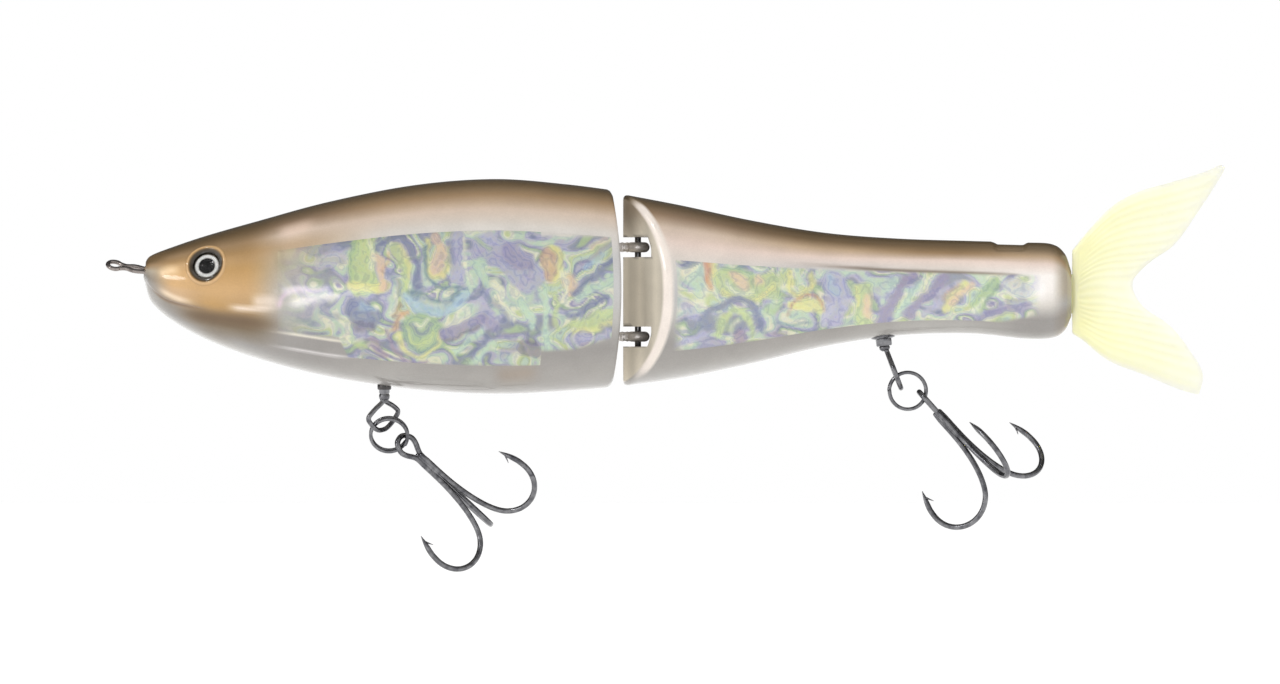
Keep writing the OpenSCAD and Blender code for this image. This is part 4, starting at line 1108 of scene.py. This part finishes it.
def hanger(name, body, node_name, x, z, lean, below, top, pitch, llean, yaw, half, length):
    m = Mesh()
    f = sleeve_frame(x, z, lean)
    groove = zip((0.88, 0.8, 0.8, 0.88), (-0.9, -0.75, -0.6, -0.45) if below > 1 else (-0.4, -0.3, -0.15, 0))
    lathe(m, [(0, -below - 0.25), (0.45, -below - 0.22), (0.76, -below), (0.88, -below + 0.2), *groove,
              (0.88, 3.1), (1.4, 3.12), (1.4, 3.78), (0.88, 3.8), (0, 3.8)], f, 32)
    side = [[0.43, 0, 0.5], [0.43, 0, -0.1], [0.5, 0, -0.6], [0.57 * half, 0, -0.27 * length],
            [0.93 * half, 0, -0.44 * length], [half, 0, -0.54 * length], [0.93 * half, 0, -0.64 * length],
            [0.6 * half, 0, -0.85 * length], [0.28 * half, 0, -0.975 * length]]
    pts = np.array(side + [[0, 0, -length]] + [[-q[0], 0, q[2]] for q in side[::-1]])
    path = spline(pts, np.linspace(1, len(pts) - 2, 90))
    tube(m, place(loop_frame(top, pitch, llean, yaw), path), 0.41, 16)
    return m.object(name, STEEL, body, (node_name,), "dark_steel", 50)


FHX, FSZ = NOSE_X + 0.258 * LENGTH, -20.6
RHX, RSZ, RLEAN = NOSE_X + 0.798 * LENGTH, -13.1, 7
F_TOP = (FHX, 0, FSZ - 1.5)
R_TOP = (RHX + 0.35, 0, RSZ - 0.9)
# each loop's pitch and lean
F_LOOP, R_LOOP = (16, -4), (0, 21)
hanger("front_hanger_wire", "front_hanger", "front_hanger", FHX, FSZ, 0, 1.6, F_TOP, *F_LOOP, 48, 3.5, 5.4)
hanger("rear_hanger_wire", "rear_hanger", "rear_hanger", RHX, RSZ, RLEAN, 0.9, R_TOP, *R_LOOP, 90, 2.75, 6.8)

for name, body, x, z, lean, node_name, drop, wide in (
        ("front_sleeve_collar", "front_section", FHX, FSZ, 0, "front_swivel_sleeve", 0.1, 1.15),
        ("rear_sleeve_collar", "tail_section", RHX, RSZ, RLEAN, "rear_swivel_sleeve", 0.35, 2.1)):
    m = Mesh()
    neck = 1.3 if wide > 2 else wide
    lathe(m, [(0.95, 4.5), (0.95, 0.1), (1.0, 0.1 - drop), (neck - 0.1, 0.1 - drop), (neck, 0.25 - drop),
              (neck, 0.9), (wide - 0.15, 1.1), (wide, 1.3), (1.75, 2.4), (1.75, 4.6), (0.95, 4.5)],
          sleeve_frame(x, z, lean), 40)
    m.object(name, STEEL if wide > 2 else SLEEVE, body, (node_name,), "sleeve", 40)


# ---------- rings and hooks ----------
def in_ring(roll, yaw, fall):
    """Direction in the plane of a rolled and turned ring, "fall" degrees below its own level."""
    c, s = math.cos, math.sin
    r, w, f = map(math.radians, (roll, yaw, fall))
    return Vector((c(w) * c(f) - s(w) * s(r) * s(f), s(w) * c(f) + c(w) * s(r) * s(f), -c(r) * s(f)))


def loop_point(top, pitch, lean, down):
    """Place a distance down a hanger's loop."""
    p, n = math.radians(pitch), math.radians(lean)
    return Vector(top) + down * Vector((math.sin(n), math.sin(p) * math.cos(n), -math.cos(p) * math.cos(n)))


# ring radius, then each ring's roll and yaw
RING_R, F_RING, R_RING = 3.05, (25, 0), (0, 4)
F_CENTRE = loop_point(F_TOP, *F_LOOP, 5.4) + 1.46 * in_ring(*F_RING, 38)
R_CENTRE = loop_point(R_TOP, *R_LOOP, 4.7) + RING_R * in_ring(*R_RING, 52)
F_HOOK = F_CENTRE + RING_R * in_ring(*F_RING, 32)
R_HOOK = R_CENTRE + RING_R * in_ring(*R_RING, 23)


def split_ring(name, body, node_name, centre, roll, yaw, phase):
    """Two turns of wire, one on top of the other."""
    n = 150
    path = [[RING_R * math.cos(b), 0.62 * (2 * i / n - 1), RING_R * math.sin(b)]
            for i in range(n + 1) for b in [4 * math.pi * i / n]]
    m = Mesh()
    tube(m, place(move(*centre) @ turn("Z", yaw) @ turn("X", roll) @ turn("Y", phase), path), 0.3, 14)
    m.object(name, STEEL, body, (node_name,), "dark_steel", 50)


split_ring("front_ring_wire", "front_ring", "front_split_ring", F_CENTRE, *F_RING, 30)
split_ring("rear_ring_wire", "rear_ring", "rear_split_ring", R_CENTRE, *R_RING, 180)

BEND_R, BEND_OFF, WIRE_R, EYE_HALF = 5.1, 2.1, 0.46, 1.7


def bend_path(length):
    """Shank, bend and point of one hook of the treble, in its own plane."""
    c = np.array([BEND_R + BEND_OFF, 0, -length + WIRE_R + BEND_R])

    def ang(degrees):
        return np.array([math.cos(math.radians(degrees)), 0, math.sin(math.radians(degrees))])
    start = c + BEND_R * ang(212)
    arriving = 3.2 * np.array([-math.sin(math.radians(212)), 0, math.cos(math.radians(212))])
    a, b, e = np.array([.55, 0, -9]), np.array([.55, 0, -13]), start - arriving
    pts = [np.array([.5, 0, -5.0]), np.array([.55, 0, -6.4]), np.array([.55, 0, -8])]
    pts += [(1 - u) ** 3 * a + 3 * (1 - u) ** 2 * u * b + 3 * (1 - u) * u * u * e + u ** 3 * start
            for u in np.linspace(0, 1, 10)]
    pts += [c + BEND_R * ang(d) for d in np.linspace(222, 366, 22)]
    tip = [c + np.array([BEND_R + x, 0, z]) for x, z in ((-.12, 1.4), (-.3, 2.1), (-.54, 2.8), (-.8, 3.5),
                                                        (-1.04, 4.15), (-1.3, 4.8))]
    return pts, tip


def treble(name, body, node_name, matrix, length, first, eye_turn):
    m = Mesh()
    pts, tip = bend_path(length)
    path = np.array(pts + tip)
    radii = np.full(len(path), WIRE_R)
    radii[-4:] = [0.43, 0.33, 0.2, 0.05]
    radii[:2] = [0.4, 0.46]
    dense = np.linspace(0, len(path) - 1, 2 * len(path) - 1)
    rr = np.interp(dense, range(len(path)), radii)
    dense_path = spline(path, dense)
    for i in range(3):
        f = matrix @ turn("Z", first + 120 * i)
        tube(m, place(f, dense_path), rr, 14)
        t = np.array(tip[3])
        barb = np.array([t + [-.05, 0, .35], t + [-.3, 0, -.1], t + [-.55, 0, -.6], t + [-.85, 0, -1.2]])
        tube(m, place(f, spline(barb, np.linspace(0, 3, 9))), np.linspace(0.24, 0.05, 9), 10)
    half = [[.5, 0, -5.6], [.55, 0, -4.9], [.85, 0, -4.2], [1.45, 0, -3.2], [EYE_HALF, 0, -2.2],
            [1.35, 0, -1.25], [.8, 0, -.65]]
    pts = np.array(half + [[0, 0, -WIRE_R]] + [[-q[0], 0, q[2]] for q in half[::-1]])
    tube(m, place(matrix @ turn("Z", eye_turn), spline(pts, np.linspace(0, len(pts) - 1, 64))), WIRE_R, 14)
    # brazing that fills between the three wires
    lathe(m, [(0, -4.3), (0.35, -4.5), (0.62, -5.2), (0.66, -7), (0.62, -9), (0.45, -10.4), (0.2, -11.4),
              (0, -11.6)], matrix, 24)
    m.object(name, STEEL, body, (node_name,), "dark_steel", 50)


treble("front_hook_wire", "front_hook", "front_treble_hook",
       move(*F_HOOK) @ turn("Y", 43 - 90) @ turn("X", 12) @ move(0, 0, 1.75), 23.6, 92, 30)
treble("rear_hook_wire", "rear_hook", "rear_treble_hook",
       move(*R_HOOK) @ turn("Y", 48.2 - 90) @ turn("X", -15) @ move(0, 0, 1.75), 23.0, -75.5, 90)

# ---------- tail fin ----------
TAIL = NOSE_X + LENGTH
OUTLINE = [[0.2, .065], [3, .155], [7.2, .265], [11.8, .325], [16.5, .36], [22, .405], [24.9, .437],
           [25.2, .405], [20.6, .215], [17.1, .09], [13, .012], [10.2, -.075], [11.8, -.175], [16.4, -.262],
           [19.7, -.37], [21.8, -.47], [21.2, -.562], [17.6, -.535], [12.4, -.478], [6.2, -.413], [2.2, -.33],
           [0.2, -.295]]


def even(points, n):
    """The same curve, resampled at even steps along it."""
    fine = np.array(smooth_line(points, 12)) if len(points) > 2 else np.array(points, float)
    s = np.r_[0, np.cumsum(np.linalg.norm(np.diff(fine, axis=0), axis=1))]
    want = np.linspace(0, s[-1], n)
    return np.stack([np.interp(want, s, fine[:, c]) for c in range(2)], -1)


# the fin is a sheet between its upper edge, lower edge, root and rim
o = [[x, z * FIN_SCALE] for x, z in OUTLINE]
ALONG, ACROSS, RAYS = 145, 44, 21
top, low = even(o[0:7], ACROSS), even(o[21:15:-1], ACROSS)
root, rim = even([o[0], o[21]], ALONG), even(o[6:17], ALONG)
down, back = np.linspace(0, 1, ALONG)[:, None], np.linspace(0, 1, ACROSS)[None, :]
u, v = down[..., None], back[..., None]
sheet = (1 - u) * top[None] + u * low[None] + (1 - v) * root[:, None] + v * rim[:, None]
corners = (1 - u) * (1 - v) * root[0] + u * (1 - v) * root[-1] + (1 - u) * v * rim[0] + u * v * rim[-1]
sheet = sheet - corners
border = np.minimum(np.minimum(down, 1 - down) * 24, (1 - back) * 16)
ripple = np.cos(down * 2 * math.pi * RAYS) * smooth(0.02, 0.25, back)
thick = 0.74 - 0.46 * back ** 0.8 + 0.03 * ripple * smooth(0, 2.2, border)
thick = thick * (0.35 + 0.65 * smooth(0, 1.4, border))
thick = thick + 0.32 * (1 - smooth(0.6, 1.3, sheet[..., 0])) * smooth(0, 1.2, border + 0.6)
thick = np.minimum(thick, 1.1)
tint = np.array([252, 248, 202]) + v * np.array([0, 3, 26]) + 2.5 * ripple[..., None] * np.array([.4, .4, 1])
pale = (1 - smooth(0, 0.9, border))[..., None]
tint = tint * (1 - pale * 0.75) + np.array([240, 240, 226]) * pale * 0.75
fin = Mesh(1.0)
plus = np.stack([TAIL + sheet[..., 0], thick, sheet[..., 1]], -1)
minus = plus * np.array([1, -1, 1])
fin.grid(plus, tint)
fin.grid(minus, tint)
for line in ((0, slice(None)), (-1, slice(None)), (slice(None), 0), (slice(None), -1)):
    fin.grid(np.stack([plus[line], minus[line]], 0), np.stack([tint[line], tint[line]], 0))
# root plug in the socket, with two gripping beads: distance from the tail's end, share of full size
PLUG_COLOUR, PLUG_HALF, PLUG_HEIGHT = (243, 242, 190), 1.12, 3.25
PLUG = ((-6.7, .8), (-6.6, .93), (-6.3, 1.0), (-5.3, 1.0), (-5.0, 1.0), (-4.7, .9), (-4.2, .9), (-3.3, .9),
        (-3.0, 1.0), (-2.6, 1.0), (-2.3, .9), (-1.2, .9), (-0.4, .96), (0.6, .9))
plug = np.array([[(TAIL + x, PLUG_HALF * share * float(soft_power(np.sin(b), 0.35)),
                   FIN_SLOT_Z + PLUG_HEIGHT * float(soft_power(np.cos(b), 0.35))) for b in full_turn(40)]
                 for x, share in PLUG])
fin.grid(plug, np.full(plug.shape, 1.0) * np.array(PLUG_COLOUR), wrap=True)
for ring in (plug[0], plug[-1]):
    s = fin.add(ring, np.full(ring.shape, 1.0) * np.array(PLUG_COLOUR))
    fin.faces.append(tuple(range(s, s + len(ring))))
fin.object("tail_fin_soft", FIN, "tail_fin", ("tail_fin",), "fin", 60)


# ---------- carried-over nodes inside the body ----------
for name in ("belly_ballast", "head_ballast", "rear_ballast"):
    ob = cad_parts[name]
    ob.data.materials.clear()
    ob.data.materials.append(BRASS)

# ---------- floor, world and lights ----------
me = bpy.data.meshes.new("floor")
n = 48
ring = [(3 * math.cos(2 * math.pi * i / n), 3 * math.sin(2 * math.pi * i / n), FLOOR_Z) for i in range(n)]
me.from_pydata(ring, [], [tuple(range(n))])
me.materials.append(FLOOR)
floor = bpy.data.objects.new("floor", me)
scene.collection.objects.link(floor)

world = bpy.data.worlds.new("studio")
scene.world = world
world.use_nodes = True
sky = Nodes(world.node_tree)
out = sky.node("ShaderNodeOutputWorld")
plain = sky.node("ShaderNodeBackground", Color=(1, 1, 1, 1), Strength=1.0)
gloss = sky.node("ShaderNodeBackground", Strength=1.0)
sep = sky.node("ShaderNodeSeparateXYZ")
sky.link(sky.node("ShaderNodeTexCoord").outputs["Generated"], sep.inputs[0])
height = sky.remap(sep.outputs[2], -1, 1, 0, 1)
ahead, behind = (sky.ramp(height, [(at, (grey,) * 3) for at, grey in stops]) for stops in (
    ((0.0, .6), (0.12, .45), (0.2, .8), (0.78, .85), (0.88, .12), (1.0, .3)),
    ((0.0, .7), (0.3, .45), (0.5, .3), (0.6, .08), (0.9, .06), (1.0, .3))))
sky.link(sky.mix(sky.remap(sep.outputs[1], -0.25, 0.25, 0.0, 1.0), ahead, behind), gloss.inputs[0])
either = sky.node("ShaderNodeMixShader")
for i, value in enumerate((sky.node("ShaderNodeLightPath").outputs["Is Glossy Ray"], plain.outputs[0],
                           gloss.outputs[0])):
    sky.link(value, either.inputs[i])
sky.link(either.outputs[0], out.inputs[0])


def soft_light(name, where, aim, size, size_y, radiance):
    ld = bpy.data.lights.new(name, "AREA")
    ld.shape = "ELLIPSE"
    ld.size, ld.size_y = size, size_y
    ld.energy = radiance * math.pi * size * size_y
    ob = bpy.data.objects.new(name, ld)
    ob.location = where
    ob.rotation_euler = (Vector(aim) - Vector(where)).to_track_quat("-Z", "Y").to_euler()
    ob.visible_camera = False
    ob.visible_glossy = name != "top"
    scene.collection.objects.link(ob)


soft_light("strip", (-0.17, -1.0, -0.016), (0.03, 0, -0.008), 0.24, 0.09, 2.2)
soft_light("nose_box", (-0.84, -0.62, 0.16), (0.01, 0, 0), 0.34, 0.14, 6)
soft_light("eye_spark", (-0.57, -0.57, 0.6), (0.015, 0, 0), 0.1, 0.1, 36)
soft_light("top", (0.1, 0.0, 1.1), (0.08, 0, 0), 1.2, 0.3, 1.5)
